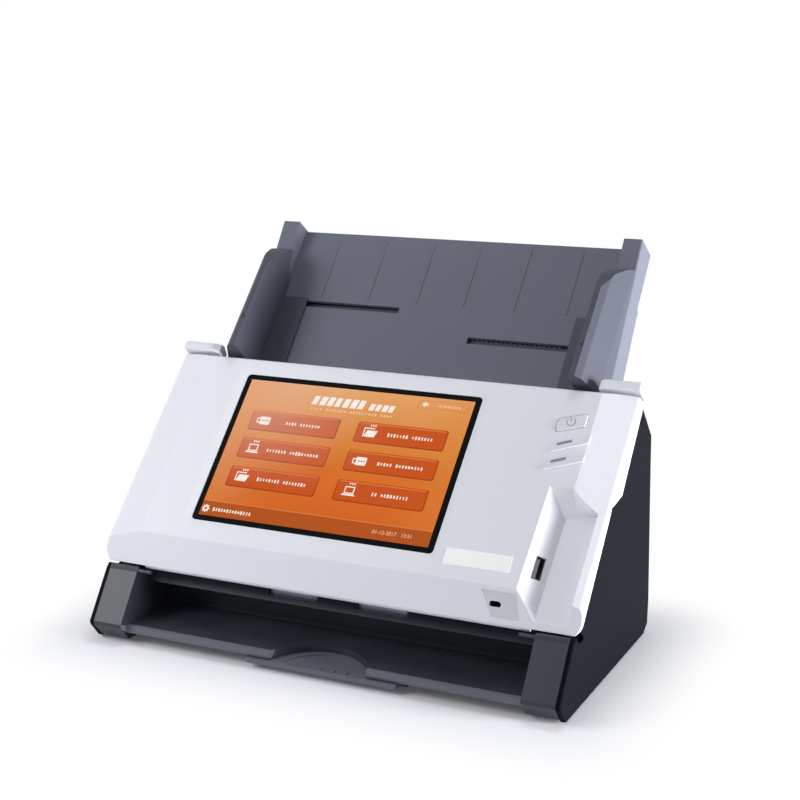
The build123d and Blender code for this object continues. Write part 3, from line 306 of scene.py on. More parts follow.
def make_turned_streaks():
    """Fine lines that turning or drawing leaves on metal, running along X."""
    inputs = {"Colour": (0.6, 0.6, 0.6, 1.0), "Along": 60.0, "Across": 2500.0, "Roughness": 0.25}
    outputs = {"Colour": "NodeSocketColor", "Roughness": "NodeSocketFloat", "Height": "NodeSocketFloat"}
    group, given, result = new_group("turned_streaks", inputs, outputs)
    scale = add_node(
        group, "ShaderNodeCombineXYZ", {"X": given["Along"], "Y": given["Across"], "Z": given["Across"]}
    ).outputs[0]
    streaks = noise(group, vector_maths(group, "MULTIPLY", own_place(group), scale), 1.0, 4.0)
    dark = mix_colours(group, 1.0, given["Colour"], (0.75, 0.75, 0.78, 1.0), "MULTIPLY")
    roughness = maths(group, "MULTIPLY_ADD", streaks, 0.18, given["Roughness"])
    group.links.new(mix_colours(group, streaks, dark, given["Colour"]), result["Colour"])
    group.links.new(roughness, result["Roughness"])
    group.links.new(streaks, result["Height"])
    return group


def new_material(name):
    """Material with nodes, its tree and its Principled shader."""
    material = bpy.data.materials.new(name)
    material.use_nodes = True
    tree = material.node_tree
    return material, tree, tree.nodes["Principled BSDF"]


def add_bump(tree, shader, height, depth):
    """Bump of the given depth in metres."""
    bump = add_node(tree, "ShaderNodeBump", {"Height": height, "Distance": depth, "Strength": 1.0})
    tree.links.new(bump.outputs["Normal"], shader.inputs["Normal"])


def make_moulded(name, groups, colour, roughness, grain, depth, drift, dust, reflection):
    """Moulded plastic with its own colour, grain and a little dust."""
    material, tree, shader = new_material(name)
    grained = add_node(
        tree,
        "ShaderNodeGroup",
        {"Colour": colour, "Grain Scale": grain, "Drift": drift, "Roughness": roughness},
        node_tree=groups["moulded_grain"],
    )
    surface = grained.outputs["Colour"]
    if dust:
        dusty = add_node(
            tree,
            "ShaderNodeGroup",
            {"Colour": surface, "Amount": dust},
            node_tree=groups["settled_dust"],
        )
        surface = dusty.outputs["Colour"]
    tree.links.new(surface, shader.inputs["Base Color"])
    tree.links.new(grained.outputs["Roughness"], shader.inputs["Roughness"])
    shader.inputs["Specular IOR Level"].default_value = reflection
    add_bump(tree, shader, grained.outputs["Height"], depth)
    return material


def make_rubber(name, groups, colour, ring_scale):
    """Matt rubber with ground rings round the roller."""
    material, tree, shader = new_material(name)
    grained = add_node(
        tree,
        "ShaderNodeGroup",
        {"Colour": colour, "Grain Scale": 1400.0, "Drift": 0.12, "Roughness": 0.75},
        node_tree=groups["moulded_grain"],
    )
    tree.links.new(grained.outputs["Colour"], shader.inputs["Base Color"])
    tree.links.new(grained.outputs["Roughness"], shader.inputs["Roughness"])
    rings = add_node(
        tree,
        "ShaderNodeTexWave",
        {"Vector": own_place(tree), "Scale": ring_scale, "Distortion": 0.2},
        bands_direction="X",
    )
    height = maths(tree, "ADD", rings.outputs["Fac"], grained.outputs["Height"])
    add_bump(tree, shader, height, 0.00004)
    return material


def make_metal(name, groups, colour, roughness, across):
    """Turned or drawn metal."""
    material, tree, shader = new_material(name)
    streaked = add_node(
        tree,
        "ShaderNodeGroup",
        {"Colour": colour, "Across": across, "Roughness": roughness},
        node_tree=groups["turned_streaks"],
    )
    tree.links.new(streaked.outputs["Colour"], shader.inputs["Base Color"])
    tree.links.new(streaked.outputs["Roughness"], shader.inputs["Roughness"])
    shader.inputs["Metallic"].default_value = 1.0
    add_bump(tree, shader, streaked.outputs["Height"], 0.00001)
    return material


def make_circuit_board(name):
    """Green solder mask over copper tracks, with tinned pads."""
    material, tree, shader = new_material(name)
    place = own_place(tree)
    tracks = add_node(
        tree,
        "ShaderNodeTexBrick",
        {
            "Vector": place,
            "Scale": 160.0,
            "Mortar Size": 0.03,
            "Color1": shown(20, 84, 50),
            "Color2": shown(17, 76, 46),
            "Mortar": shown(52, 120, 74),
        },
    )
    pads = add_node(tree, "ShaderNodeTexVoronoi", {"Vector": place, "Scale": 260.0}).outputs["Distance"]
    spots = ranged(tree, pads, 0.1, 0.14, 1.0, 0.0)
    surface = mix_colours(tree, spots, tracks.outputs["Color"], shown(196, 178, 120))
    tree.links.new(surface, shader.inputs["Base Color"])
    tree.links.new(ranged(tree, spots, 0.0, 1.0, 0.35, 0.25), shader.inputs["Roughness"])
    add_bump(tree, shader, tracks.outputs["Fac"], 0.00003)
    return material


def make_black_glass(name):
    """Glass over black print, with faint smears in its gloss."""
    material, tree, shader = new_material(name)
    smears = noise(tree, own_place(tree), 22.0, 5.0)
    surface = mix_colours(tree, smears, shown(6, 6, 8), shown(11, 11, 14))
    tree.links.new(surface, shader.inputs["Base Color"])
    tree.links.new(ranged(tree, smears, 0.3, 0.7, 0.03, 0.09), shader.inputs["Roughness"])
    shader.inputs["Specular IOR Level"].default_value = 0.12
    return material


def slope_share(tree, low, high, along):
    """Share of the way from low to high, in millimetres, across the slope ("x") or up it ("v")."""
    axis = (1.0, 0.0, 0.0) if along == "x" else (0.0, SLOPE_COS, SLOPE_SIN)
    start = 0.0 if along == "x" else SLOPE_COS * SLOPE_TOP_Y + SLOPE_SIN * SLOPE_TOP_Z
    reach = vector_maths(tree, "DOT_PRODUCT", own_place(tree), axis, result="Value")
    return ranged(tree, reach, (start + low) * 0.001, (start + high) * 0.001, 0.0, 1.0)


def glare_corner_share(tree):
    """Mask of the painted glare: 1 at the display's top left corner, falling off to the right and downwards.
    """
    across = slope_share(tree, PICTURE_LEFT, PICTURE_RIGHT, "x")
    up = slope_share(tree, PICTURE_LOW, PICTURE_HIGH, "v")
    left = ranged(tree, across, 0.0, 0.75, 1.0, 0.0, smooth=True)
    return maths(tree, "MULTIPLY", left, ranged(tree, up, 0.25, 1.0, 0.0, 1.0))


def light_face(tree, shader, glow, roughness):
    """Lets a black glossy face of the display glow in the given colour."""
    tree.links.new(glow, shader.inputs["Emission Color"])
    shader.inputs["Emission Strength"].default_value = 1.0
    shader.inputs["Base Color"].default_value = UNLIT_BLACK
    shader.inputs["Roughness"].default_value = roughness
    shader.inputs["Specular IOR Level"].default_value = DISPLAY_REFLECTION


def make_lit(name, colour, painted_glare):
    """One lit colour of the picture, drifting a little as a backlight does, with a painted glare that pales
    it towards the top left.
    """
    material, tree, shader = new_material(name)
    dimmer = tuple(c * 0.93 for c in colour[:3]) + (1.0,)
    glow = mix_colours(tree, noise(tree, own_place(tree), 18.0), dimmer, colour)
    amount = maths(tree, "MULTIPLY", glare_corner_share(tree), painted_glare)
    # Painted reflection: the colour pales towards a warm white at the top left corner
    light_face(tree, shader, mix_colours(tree, amount, glow, shown(236, 200, 178)), 0.12)
    return material


def make_picture_ground(name):
    """Warm graded ground of the picture, with a painted glare that pales it towards its top left corner."""
    material, tree, shader = new_material(name)
    across = slope_share(tree, PICTURE_LEFT, PICTURE_RIGHT, "x")
    up = slope_share(tree, PICTURE_LOW, PICTURE_HIGH, "v")
    grade = add_node(tree, "ShaderNodeValToRGB", {"Fac": up})
    grade.color_ramp.elements[0].color = shown(204, 92, 30)
    grade.color_ramp.elements[1].color = shown(226, 162, 100)
    grade.color_ramp.elements.new(0.4).color = shown(210, 108, 38)
    grade.color_ramp.elements.new(0.72).color = shown(218, 138, 66)
    # Painted glare: paler towards the top left corner
    left = ranged(tree, across, 0.0, 0.8, 1.0, 0.0, smooth=True)
    pale = ranged(tree, maths(tree, "MULTIPLY", left, up), 0.15, 1.0, 0.0, 0.75)
    glow = mix_colours(tree, pale, grade.outputs["Color"], shown(231, 186, 158))
    side = ranged(tree, across, 0.0, 0.3, 0.45, 0.0, smooth=True)
    glow = mix_colours(tree, side, glow, shown(222, 146, 84))
    far = ranged(tree, across, 0.75, 1.0, 0.0, 0.4, smooth=True)
    glow = mix_colours(tree, far, glow, shown(220, 132, 56))
    place = own_place(tree)
    for x, v, radius, amount in PICTURE_ARCS:
        away = vector_maths(tree, "DISTANCE", place, on_slope(x, v, GLASS_TOP), result="Value")
        inside = ranged(tree, away, radius, radius + 0.0012, amount, 0.0, smooth=True)
        faded = ranged(tree, away, radius - 0.05, radius, 0.0, 1.0, smooth=True)
        arc = maths(tree, "MULTIPLY", inside, faded)
        glow = mix_colours(tree, arc, glow, shown(228, 120, 44))
    light_face(tree, shader, glow, 0.08)
    return material


def make_finishes():
    """Material of every slot in the record, and of what has a finish of its own."""
    groups = {
        "moulded_grain": make_moulded_grain(),
        "settled_dust": make_settled_dust(),
        "turned_streaks": make_turned_streaks(),
    }
    moulded = {
        # name: colour, roughness, grain scale, grain depth, drift, dust, reflection
        "white_plastic": (shown(228, 230, 237), 0.45, 1500.0, 0.000006, 0.02, 0.0, 0.3),
        "charcoal_plastic": (shown(43, 49, 58), 0.42, 1300.0, 0.00001, 0.06, 0.03, 0.42),
        "side_charcoal": (shown(14, 17, 23), 0.5, 1300.0, 0.000008, 0.06, 0.0, 0.02),
        "slate_plastic": (shown(104, 107, 121), 0.5, 1300.0, 0.000008, 0.04, 0.02, 0.25),
        # Darker copy of slate_plastic for the paper guides: painted shade
        "slate_painted_shade": (shown(76, 79, 91), 0.5, 1300.0, 0.000008, 0.04, 0.02, 0.2),
        # Lighter copy of charcoal for the bay's front edge, the pull-out stop and its ridges: painted light
        # from above
        "charcoal_painted_light": (shown(96, 100, 110), 0.4, 1300.0, 0.00001, 0.06, 0.03, 0.45),
        "panel_grey": (shown(211, 216, 220), 0.45, 1500.0, 0.000006, 0.03, 0.0, 0.3),
        "inner_black": (shown(34, 35, 38), 0.55, 1200.0, 0.00001, 0.08, 0.0, 0.35),
        "button_grey": (shown(222, 224, 231), 0.4, 1500.0, 0.000005, 0.02, 0.0, 0.35),
        "label_white": (shown(255, 255, 255), 0.35, 900.0, 0.000003, 0.01, 0.0, 0.35),
        "gear_plastic": (shown(214, 211, 200), 0.4, 1300.0, 0.000006, 0.05, 0.0, 0.35),
        "sensor_body": (shown(44, 45, 50), 0.5, 1200.0, 0.00001, 0.06, 0.0, 0.35),
        "bush_plastic": (shown(64, 67, 74), 0.42, 1300.0, 0.000006, 0.05, 0.0, 0.35),
        "light_pipe": (shown(128, 142, 164), 0.2, 900.0, 0.000003, 0.05, 0.0, 0.5),
        "mark_grey": (shown(120, 124, 136), 0.5, 900.0, 0.000003, 0.03, 0.0, 0.5),
    }
    rubbers = {
        # name: colour, ring scale
        "roller_rubber": (shown(176, 174, 194), 900.0),
        "foot_rubber": (shown(30, 30, 32), 500.0),
        "belt_rubber": (shown(26, 26, 28), 600.0),
        "pad_rubber": (shown(120, 74, 58), 700.0),
    }
    metals = {
        # name: colour, roughness, streak scale
        "steel": (shown(190, 192, 196), 0.22, 2500.0),
        "motor_steel": (shown(176, 178, 180), 0.34, 900.0),
        "socket_shell": (shown(150, 152, 156), 0.3, 1600.0),
        "display_panel": (shown(150, 152, 158), 0.4, 700.0),
    }
    finishes = {}
    for make, table in ((make_moulded, moulded), (make_rubber, rubbers), (make_metal, metals)):
        for name, values in table.items():
            finishes[name] = make(name, groups, *values)
    finishes["circuit_board"] = make_circuit_board("circuit_board")
    finishes["screen_glass"] = make_black_glass("screen_glass")
    finishes["sensor_glass"] = make_black_glass("sensor_glass")
    return finishes


# Meshes


def show_piece(name, mesh, body):
    """Shows a finished mesh as a piece that moves with a body."""
    piece = bpy.data.objects.new(name, mesh)
    bpy.context.scene.collection.objects.link(piece)
    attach(piece, body)


def new_piece(name, shape, material, body):
    """Piece made of the points and faces of a shape, in the given finish."""
    points, faces = shape
    mesh = bpy.data.meshes.new(name)
    mesh.from_pydata(points, [], faces)
    mesh.validate()
    mesh.materials.append(material)
    show_piece(name, mesh, body)


def plain_mesh(carrier):
    """Mesh that an object's text or modifiers come to."""
    view = bpy.context.evaluated_depsgraph_get()
    return bpy.data.meshes.new_from_object(carrier.evaluated_get(view))


def slab(outline, layer):
    """Closed thin slab over an outline that runs counter-clockwise on the slope."""
    count = len(outline)
    points = [on_slope(x, v, w) for w in layer for x, v in outline]
    faces = [tuple(range(count, 2 * count)), tuple(reversed(range(count)))]
    faces += [(i, (i + 1) % count, count + (i + 1) % count, count + i) for i in range(count)]
    return points, faces


def frame_slab(outer, inner, layer):
    """Closed ring between two outlines with the same number of points."""
    count = len(outer)
    points = [on_slope(x, v, w) for w in layer for x, v in outer + inner]
    faces = []
    for i in range(count):
        j = (i + 1) % count
        faces.append((2 * count + i, 2 * count + j, 3 * count + j, 3 * count + i))
        faces.append((i, count + i, count + j, j))
        faces.append((i, j, 2 * count + j, 2 * count + i))
        faces.append((count + j, count + i, 3 * count + i, 3 * count + j))
    return points, faces


def joined(parts):
    """Several closed shapes as one list of points and faces."""
    points = []
    faces = []
    for some_points, some_faces in parts:
        shift = len(points)
        points += some_points
        faces += [tuple(shift + i for i in face) for face in some_faces]
    return points, faces


def moved(outline, x, v):
    """Outline moved across and up the slope."""
    return [(x + across, v + up) for across, up in outline]


def on_circle(x, v, radius, angle):
    """Point on a circle round a place on the slope."""
    return (x + radius * math.cos(angle), v + radius * math.sin(angle))


def box_outline(x0, v0, x1, v1):
    """Outline of an upright rectangle."""
    return [(x0, v0), (x1, v0), (x1, v1), (x0, v1)]


def round_outline(x0, v0, x1, v1, radius, steps=4):
    """Outline of a rectangle with round corners."""
    low_left, low_right, high_right, high_left = box_outline(
        x0 + radius, v0 + radius, x1 - radius, v1 - radius
    )
    outline = []
    for turn, (x, v) in enumerate((high_right, high_left, low_left, low_right)):
        for step in range(steps + 1):
            outline.append(on_circle(x, v, radius, math.pi / 2 * (turn + step / steps)))
    return outline


def disc_outline(x, v, radius, steps=24):
    """Outline of a circle."""
    return [on_circle(x, v, radius, 2 * math.pi * step / steps) for step in range(steps)]


def gear_outline(x, v, inner, outer, teeth):
    """Outline of a small cog."""
    outline = []
    for tooth in range(teeth):
        middle = 2 * math.pi * tooth / teeth
        for share, radius in ((-0.32, inner), (-0.2, outer), (0.2, outer), (0.32, inner)):
            outline.append(on_circle(x, v, radius, middle + share * 2 * math.pi / teeth))
    return outline


# Geometry Nodes: small blocks set on points


def make_block_row_tree():
    """Tree that puts a small block of random size on each point of a mesh, turned to lie on a slope."""
    tree = bpy.data.node_groups.new("blocks_on_points", "GeometryNodeTree")
    inputs = {
        "Points": "NodeSocketGeometry",
        "Block Size": "NodeSocketVector",
        "Width Spread": "NodeSocketFloat",
        "Height Spread": "NodeSocketFloat",
        "Lean": "NodeSocketFloat",
        "Seed": "NodeSocketInt",
        "Finish": "NodeSocketMaterial",
    }
    for name, kind in inputs.items():
        tree.interface.new_socket(name, in_out="INPUT", socket_type=kind)
    tree.interface.new_socket("Blocks", in_out="OUTPUT", socket_type="NodeSocketGeometry")
    given = tree.nodes.new("NodeGroupInput").outputs
    end = tree.nodes.new("NodeGroupOutput")
    block = add_node(tree, "GeometryNodeMeshCube", {"Size": given["Block Size"]})
    turn = add_node(tree, "ShaderNodeCombineXYZ", {"X": given["Lean"]})
    width = maths(tree, "SUBTRACT", 1.0, given["Width Spread"])
    height = maths(tree, "SUBTRACT", 1.0, given["Height Spread"])
    smallest = add_node(tree, "ShaderNodeCombineXYZ", {"X": width, "Y": height, "Z": 1.0})
    sizes = add_node(tree, "FunctionNodeRandomValue", data_type="FLOAT_VECTOR")
    tree.links.new(smallest.outputs[0], sizes.inputs[0])
    sizes.inputs[1].default_value = (1.0, 1.0, 1.0)
    tree.links.new(given["Seed"], sizes.inputs["Seed"])
    placed = add_node(
        tree,
        "GeometryNodeInstanceOnPoints",
        {"Points": given["Points"], "Instance": block.outputs["Mesh"], "Rotation": turn.outputs[0]},
    )
    tree.links.new(sizes.outputs[0], placed.inputs["Scale"])
    real = add_node(tree, "GeometryNodeRealizeInstances", {"Geometry": placed.outputs["Instances"]})
    coloured = add_node(
        tree, "GeometryNodeSetMaterial", {"Geometry": real.outputs["Geometry"], "Material": given["Finish"]}
    )
    tree.links.new(coloured.outputs["Geometry"], end.inputs["Blocks"])
    return tree


def blocks_on_points(name, tree, points, size, spread, lean, seed, material, body):
    """Runs the tree on a list of points and shows the result as one plain piece."""
    mesh = bpy.data.meshes.new(name + "_points")
    mesh.from_pydata(points, [], [])
    carrier = bpy.data.objects.new(name + "_points", mesh)
    bpy.context.scene.collection.objects.link(carrier)
    modifier = carrier.modifiers.new("blocks", "NODES")
    modifier.node_group = tree
    values = {
        "Block Size": size,
        "Width Spread": spread[0],
        "Height Spread": spread[1],
        "Lean": lean,
        "Seed": seed,
        "Finish": material,
    }
    for item in tree.interface.items_tree:
        if item.in_out == "INPUT" and item.name in values:
            modifier[item.identifier] = values[item.name]
    result = plain_mesh(carrier)
    carrier.modifiers.remove(modifier)
    bpy.data.objects.remove(carrier)
    show_piece(name, result, body)


# The picture on the display


def word_points(x, v, letters, pitch, w):
    """Points of a line of small marks that stands for words; letters is the length of each word."""
    points = []
    for length in letters:
        points += [on_slope(x + i * pitch, v, w) for i in range(length)]
        x += (length + 1) * pitch
    return points


def card_icon(x, v):
    """Two overlapping cards."""
    back = frame_slab(
        round_outline(x - 4.6, v - 2.0, x + 0.5, v + 1.6, 0.5, 2),
        round_outline(x - 3.9, v - 1.3, x - 0.2, v + 0.9, 0.3, 2),
        ICON_BACK_LAYER,
    )
    front = slab(round_outline(x - 2.4, v - 2.8, x + 4.4, v + 2.6, 0.6, 2), ICON_FRONT_LAYER)
    return [back, front]


def folder_icon(x, v):
    """Open folder."""
    back = [(-4.2, -2.9), (-3.5, -2.9), (-3.5, 2.4), (2.6, 2.4), (2.6, 3.1), (-4.2, 3.1)]
    front = [(-3.3, -3.0), (3.4, -3.0), (4.8, 1.4), (-2.0, 1.4)]
    return [slab(moved(back, x, v), ICON_BACK_LAYER), slab(moved(front, x, v), ICON_FRONT_LAYER)]


def laptop_icon(x, v):
    """Laptop computer."""
    screen = frame_slab(
        box_outline(x - 3.0, v - 1.8, x + 3.4, v + 2.8),
        box_outline(x - 2.3, v - 1.2, x + 2.7, v + 2.1),
        ICON_FRONT_LAYER,
    )
    base = [(-4.4, -3.2), (4.6, -3.2), (3.8, -2.1), (-3.6, -2.1)]
    return [screen, slab(moved(base, x, v), ICON_FRONT_LAYER)]


def arrow_icon(x, v):
    """Small arrow that points left."""
    head = moved([(-1.9, 0.0), (0.2, -1.9), (0.2, 1.9)], x, v)
    shaft = box_outline(x + 0.2, v - 0.7, x + 1.9, v + 0.7)
    return [slab(head, HEADER_ARROW_LAYER), slab(shaft, HEADER_ARROW_LAYER)]


def title_blocks():
    """Plain slanted blocks, one in the place of each letter of the title."""
    blocks = []
    for start, pitch, height, widths in TITLE_WORDS:
        lean = TITLE_SLANT * height
        for i, width in enumerate(widths):
            outline = [(0.0, 0.0), (width, 0.0), (width + lean, height), (lean, height)]
            blocks.append(slab(moved(outline, start + pitch * i, TITLE_FOOT), TITLE_LAYER))
    return blocks


def write_digits(name, text, place, height, w, material, body):
    """Plain digits in the built-in typeface, laid on the slope as a thin closed mesh."""
    curve = bpy.data.curves.new(name, "FONT")
    curve.body = text
    curve.size = 1.0
    curve.extrude = 0.01
    carrier = bpy.data.objects.new(name + "_text", curve)
    bpy.context.scene.collection.objects.link(carrier)
    mesh = plain_mesh(carrier)
    bpy.data.objects.remove(carrier)
    x, v = place
    for point in mesh.vertices:
        point.co = on_slope(x + point.co.x * height, v + point.co.y * height, w + point.co.z * height)
    mesh.materials.clear()
    mesh.materials.append(material)
    show_piece(name, mesh, body)


def add_buttons(shapes, marks):
    """Adds the six buttons, their icons and the marks in the place of their words."""
    kinds = [card_icon, folder_icon, laptop_icon]
    for row, (low, high) in enumerate(BUTTON_ROWS):
        for column, (left, right) in enumerate(BUTTON_COLUMNS):
            number = len(BUTTON_COLUMNS) * row + column
            middle = (low + high) / 2
            under = round_outline(left - 0.7, low - 0.9, right + 0.9, high, radius=1.6)
            face = round_outline(left, low, right, high, radius=1.2)
            line = box_outline(left + 1.0, high - 1.3, right - 1.0, high - 0.75)
            shapes["shades"].append(slab(under, BUTTON_SHADE_LAYER))
            shapes["faces"].append(slab(face, BUTTON_FACE_LAYER))
            shapes["edges"].append(slab(line, BUTTON_LINE_LAYER))
            kind = kinds[number % len(kinds)]
            shapes["icons"] += kind(left + 8.5, middle - 0.2)
            if kind is card_icon:
                for i in range(3):
                    dot = disc_outline(left + 8.0 + 1.7 * i, middle - 0.3, radius=0.55, steps=8)
                    shapes["shades"].append(slab(dot, CARD_DOT_LAYER))
            else:
                marks["ticks"] += word_points(left + 8.0, middle + 4.4, [3], 1.5, BUTTON_WORDS_HEIGHT)
            letters = BUTTON_WORDS[number]
            spare = right - left - ICON_ROOM - WORD_MARGIN - (sum(letters) + 1) * LETTER_PITCH
            start = left + ICON_ROOM + spare / 2
            marks["words"] += word_points(start, middle - 0.6, letters, LETTER_PITCH, BUTTON_WORDS_HEIGHT)


def add_header_and_footer(shapes, marks):
    """Adds the fields, arrow and small words of the header, and the line, cog and words of the footer."""
    line = box_outline(PICTURE_LEFT, FOOTER_TOP, PICTURE_RIGHT, FOOTER_TOP + FOOTER_LINE)
    shapes["edges"].append(slab(line, FOOTER_LINE_LAYER))
    for x0, v0, x1, v1 in HEADER_FIELDS:
        stroke = HEADER_STROKE
        inner = box_outline(x0 + stroke, v0 + stroke, x1 - stroke, v1 - stroke)
        shapes["edges"].append(frame_slab(box_outline(x0, v0, x1, v1), inner, HEADER_FRAME_LAYER))
    shapes["icons"] += arrow_icon(*HEADER_ARROW_PLACE)
    shapes["icons"].append(slab(gear_outline(*COG_PLACE, inner=1.9, outer=2.6, teeth=8), COG_LAYER))
    shapes["faces"].append(slab(disc_outline(*COG_PLACE, radius=0.9), COG_HOLE_LAYER))
    marks["words"] += word_points(*FOOTER_WORDS, FOOTER_WORDS_HEIGHT)
    for row in HEADER_WORDS:
        marks["small_words"] += word_points(*row, HEADER_WORDS_HEIGHT)


def make_picture(tree):
    """Picture on the display: ground, footer, six buttons, icons and rows of marks in the place of words."""
    ground = make_picture_ground("picture_ground")
    # Last number: strength of the painted glare at the top left of each lit colour
    footer = make_lit("picture_footer", shown(180, 84, 28), 0.2)
    face = make_lit("picture_button_face", shown(200, 84, 28), 0.55)
    shade = make_lit("picture_button_shade", shown(170, 68, 22), 0.5)
    edge = make_lit("picture_button_edge", shown(226, 128, 74), 0.4)
    white = make_lit("picture_white", shown(252, 240, 230), 0.0)
    pale = make_lit("picture_pale", shown(240, 196, 158), 0.2)
    shapes = {"faces": [], "shades": [], "edges": [], "icons": []}
    marks = {"words": [], "small_words": [], "ticks": []}
    add_buttons(shapes, marks)
    add_header_and_footer(shapes, marks)
    lit_area = box_outline(PICTURE_LEFT, PICTURE_LOW, PICTURE_RIGHT, PICTURE_HIGH)
    footer_area = box_outline(PICTURE_LEFT, PICTURE_LOW, PICTURE_RIGHT, FOOTER_TOP)
    for name, shape, material in (
        ("picture_ground", slab(lit_area, GROUND_LAYER), ground),
        ("picture_footer", slab(footer_area, FOOTER_LAYER), footer),
        ("picture_button_faces", joined(shapes["faces"]), face),
        ("picture_button_shades", joined(shapes["shades"]), shade),
        ("picture_button_edges", joined(shapes["edges"]), edge),
        ("picture_icons", joined(shapes["icons"]), white),
    ):
        new_piece(name, shape, material, "cover")
    lean = math.radians(SLOPE_DEGREES)
    # Each row: size of a block in metres, spread of its width and height, seed and finish
    for row, size, spread, seed, material in (
        ("words", (0.0013, 0.0025, 0.00003), (0.5, 0.45), 3, white),
        ("small_words", (0.0013, 0.0016, 0.00003), (0.5, 0.3), 5, pale),
        ("ticks", (0.0009, 0.0013, 0.00003), (0.2, 0.2), 7, white),
    ):
        name = "picture_" + row
        blocks_on_points(name, tree, marks[row], size, spread, lean, seed, material, "cover")
    new_piece("picture_title", joined(title_blocks()), white, "cover")
    date = "01-12-2017   13:51"
    write_digits(
        "picture_date", date, DATE_PLACE, DATE_HEIGHT, FOOTER_WORDS_HEIGHT, pale, "cover"
    )


# Small marks and painted faces


def make_power_mark(material):
    """Power symbol printed on the button: an open ring and a bar."""
    x, v = POWER_PLACE
    start = math.pi / 2 + POWER_GAP + POWER_TURN
    sweep = 2 * math.pi - 2 * POWER_GAP
    angles = [start + sweep * step / POWER_STEPS for step in range(POWER_STEPS + 1)]
    outer = [on_circle(x, v, POWER_RADIUS + POWER_STROKE / 2, angle) for angle in angles]
    inner = [on_circle(x, v, POWER_RADIUS - POWER_STROKE / 2, angle) for angle in angles]
    bar = []
    for across, up in POWER_BAR:
        bar_x = x + across * math.cos(POWER_TURN) - up * math.sin(POWER_TURN)
        bar_v = v + across * math.sin(POWER_TURN) + up * math.cos(POWER_TURN)
        bar.append((bar_x, bar_v))
    shape = joined([slab(outer + inner[::-1], POWER_LAYER), slab(bar, POWER_LAYER)])
    new_piece("power_mark", shape, material, "power_button")


def make_grip_ridges(tree, material):
    """Short ridges along the front edge of the pull-out stop."""
    x, y, z = RIDGE_PLACE
    points = [in_place(x + RIDGE_PITCH * i, y, z) for i in range(RIDGE_COUNT)]
    spread = (0.0, 0.0)
    blocks_on_points(
        "grip_ridges", tree, points, RIDGE_SIZE, spread, 0.0, 1, material, "sheet_stop"
    )


def make_guide_arrow(side, material):
    """Chevron printed on a paper guide's top face; side is 1 at the right and -1 at the left."""
    outline = [(side * x, v) for x, v in CHEVRON]
    if side < 0:
        outline.reverse()
    hand = "right" if side > 0 else "left"
    new_piece("arrow_" + hand, slab(outline, CHEVRON_LAYER), material, "guide_" + hand)


def on_lip_painted_light(centre, normal):
    """True on the rounded edge along the front of the delivery bay, where a lighter charcoal is painted as a
    highlight.
    """
    along = centre.y < LIP_BACK and abs(centre.x) < LIP_HALF_WIDTH
    return along and LIP_LOW < centre.z < LIP_HIGH and normal.z > -0.5


def in_corner_panel(centre, normal):
    """True on the floor of the shallow recess round the slot in the cover's lower band."""
    facing = Vector((0.0, -math.sin(BAND_TILT), math.cos(BAND_TILT)))
    middle = Vector(on_slope(*PANEL_PLACE))
    depth = (centre - middle).dot(facing)
    near = abs(centre.x - middle.x) < PANEL_REACH
    return near and normal.dot(facing) > 0.99 and abs(depth + PANEL_DEPTH) < 0.0001


def paint_faces(node, material, chosen):
    """Gives a second material to the faces of a CAD node whose centre and normal the test picks."""
    node.data.materials.append(material)
    for face in node.data.polygons:
        if chosen(face.center, face.normal):
            face.material_index = 1


def dress_nodes(frame, finishes):
    """Gives each CAD node its finish, and a second one to the bay's front edge, a lighter charcoal that is
    painted light, and to the corner panel.
    """
    for part in frame["record"]["subparts"]:
        node = frame["nodes"][part["node"]]
        node.data.materials.clear()
        node.data.materials.append(finishes[OWN_FINISH.get(part["node"], part["material_slot"])])
    paint_faces(frame["nodes"]["base_housing"], finishes["charcoal_painted_light"], on_lip_painted_light)
    paint_faces(frame["nodes"]["cover_shell"], finishes["panel_grey"], in_corner_panel)


# Room, light and camera


def make_floor():
    """Pale floor that takes the shadow close to the scanner and is plain white further out."""
    size = FLOOR_HALF
    corners = [(x, y, 0.0) for x, y in box_outline(-size, -size, size, size)]
    mesh = bpy.data.meshes.new("floor")
    mesh.from_pydata(corners, [], [(0, 1, 2, 3)])
    floor = bpy.data.objects.new("floor", mesh)
    bpy.context.scene.collection.objects.link(floor)
    material = bpy.data.materials.new("floor_white")
    material.use_nodes = True
    tree = material.node_tree
    tree.nodes.clear()
    # Distance from the scanner's rectangle on the floor
    near = vector_maths(tree, "SUBTRACT", own_place(tree), FOOTPRINT_CENTRE)
    near = vector_maths(tree, "ABSOLUTE", near)
    near = vector_maths(tree, "SUBTRACT", near, FOOTPRINT_HALF)
    near = vector_maths(tree, "MAXIMUM", near, (0.0, 0.0, 0.0))
    near = vector_maths(tree, "LENGTH", near, result="Value")
    far = ranged(tree, near, 0.0, SHADOW_REACH, SHADOW_WHITE, 1.0, smooth=True)
    rays = add_node(tree, "ShaderNodeLightPath").outputs
    seen = maths(tree, "MAXIMUM", rays["Is Camera Ray"], rays["Is Glossy Ray"])
    seen = maths(tree, "MAXIMUM", seen, rays["Is Transmission Ray"])
    amount = maths(tree, "MULTIPLY", far, seen)
    paper = add_node(tree, "ShaderNodeBsdfDiffuse", {"Color": (0.88, 0.89, 0.94, 1.0)}).outputs[0]
    white = add_node(tree, "ShaderNodeEmission", {"Color": (1.0, 1.0, 1.0, 1.0), "Strength": 1.0}).outputs[0]
    mixed = add_node(tree, "ShaderNodeMixShader", {0: amount, 1: paper, 2: white})
    out = add_node(tree, "ShaderNodeOutputMaterial", {"Surface": mixed.outputs[0]})
    out.is_active_output = True
    mesh.materials.append(material)


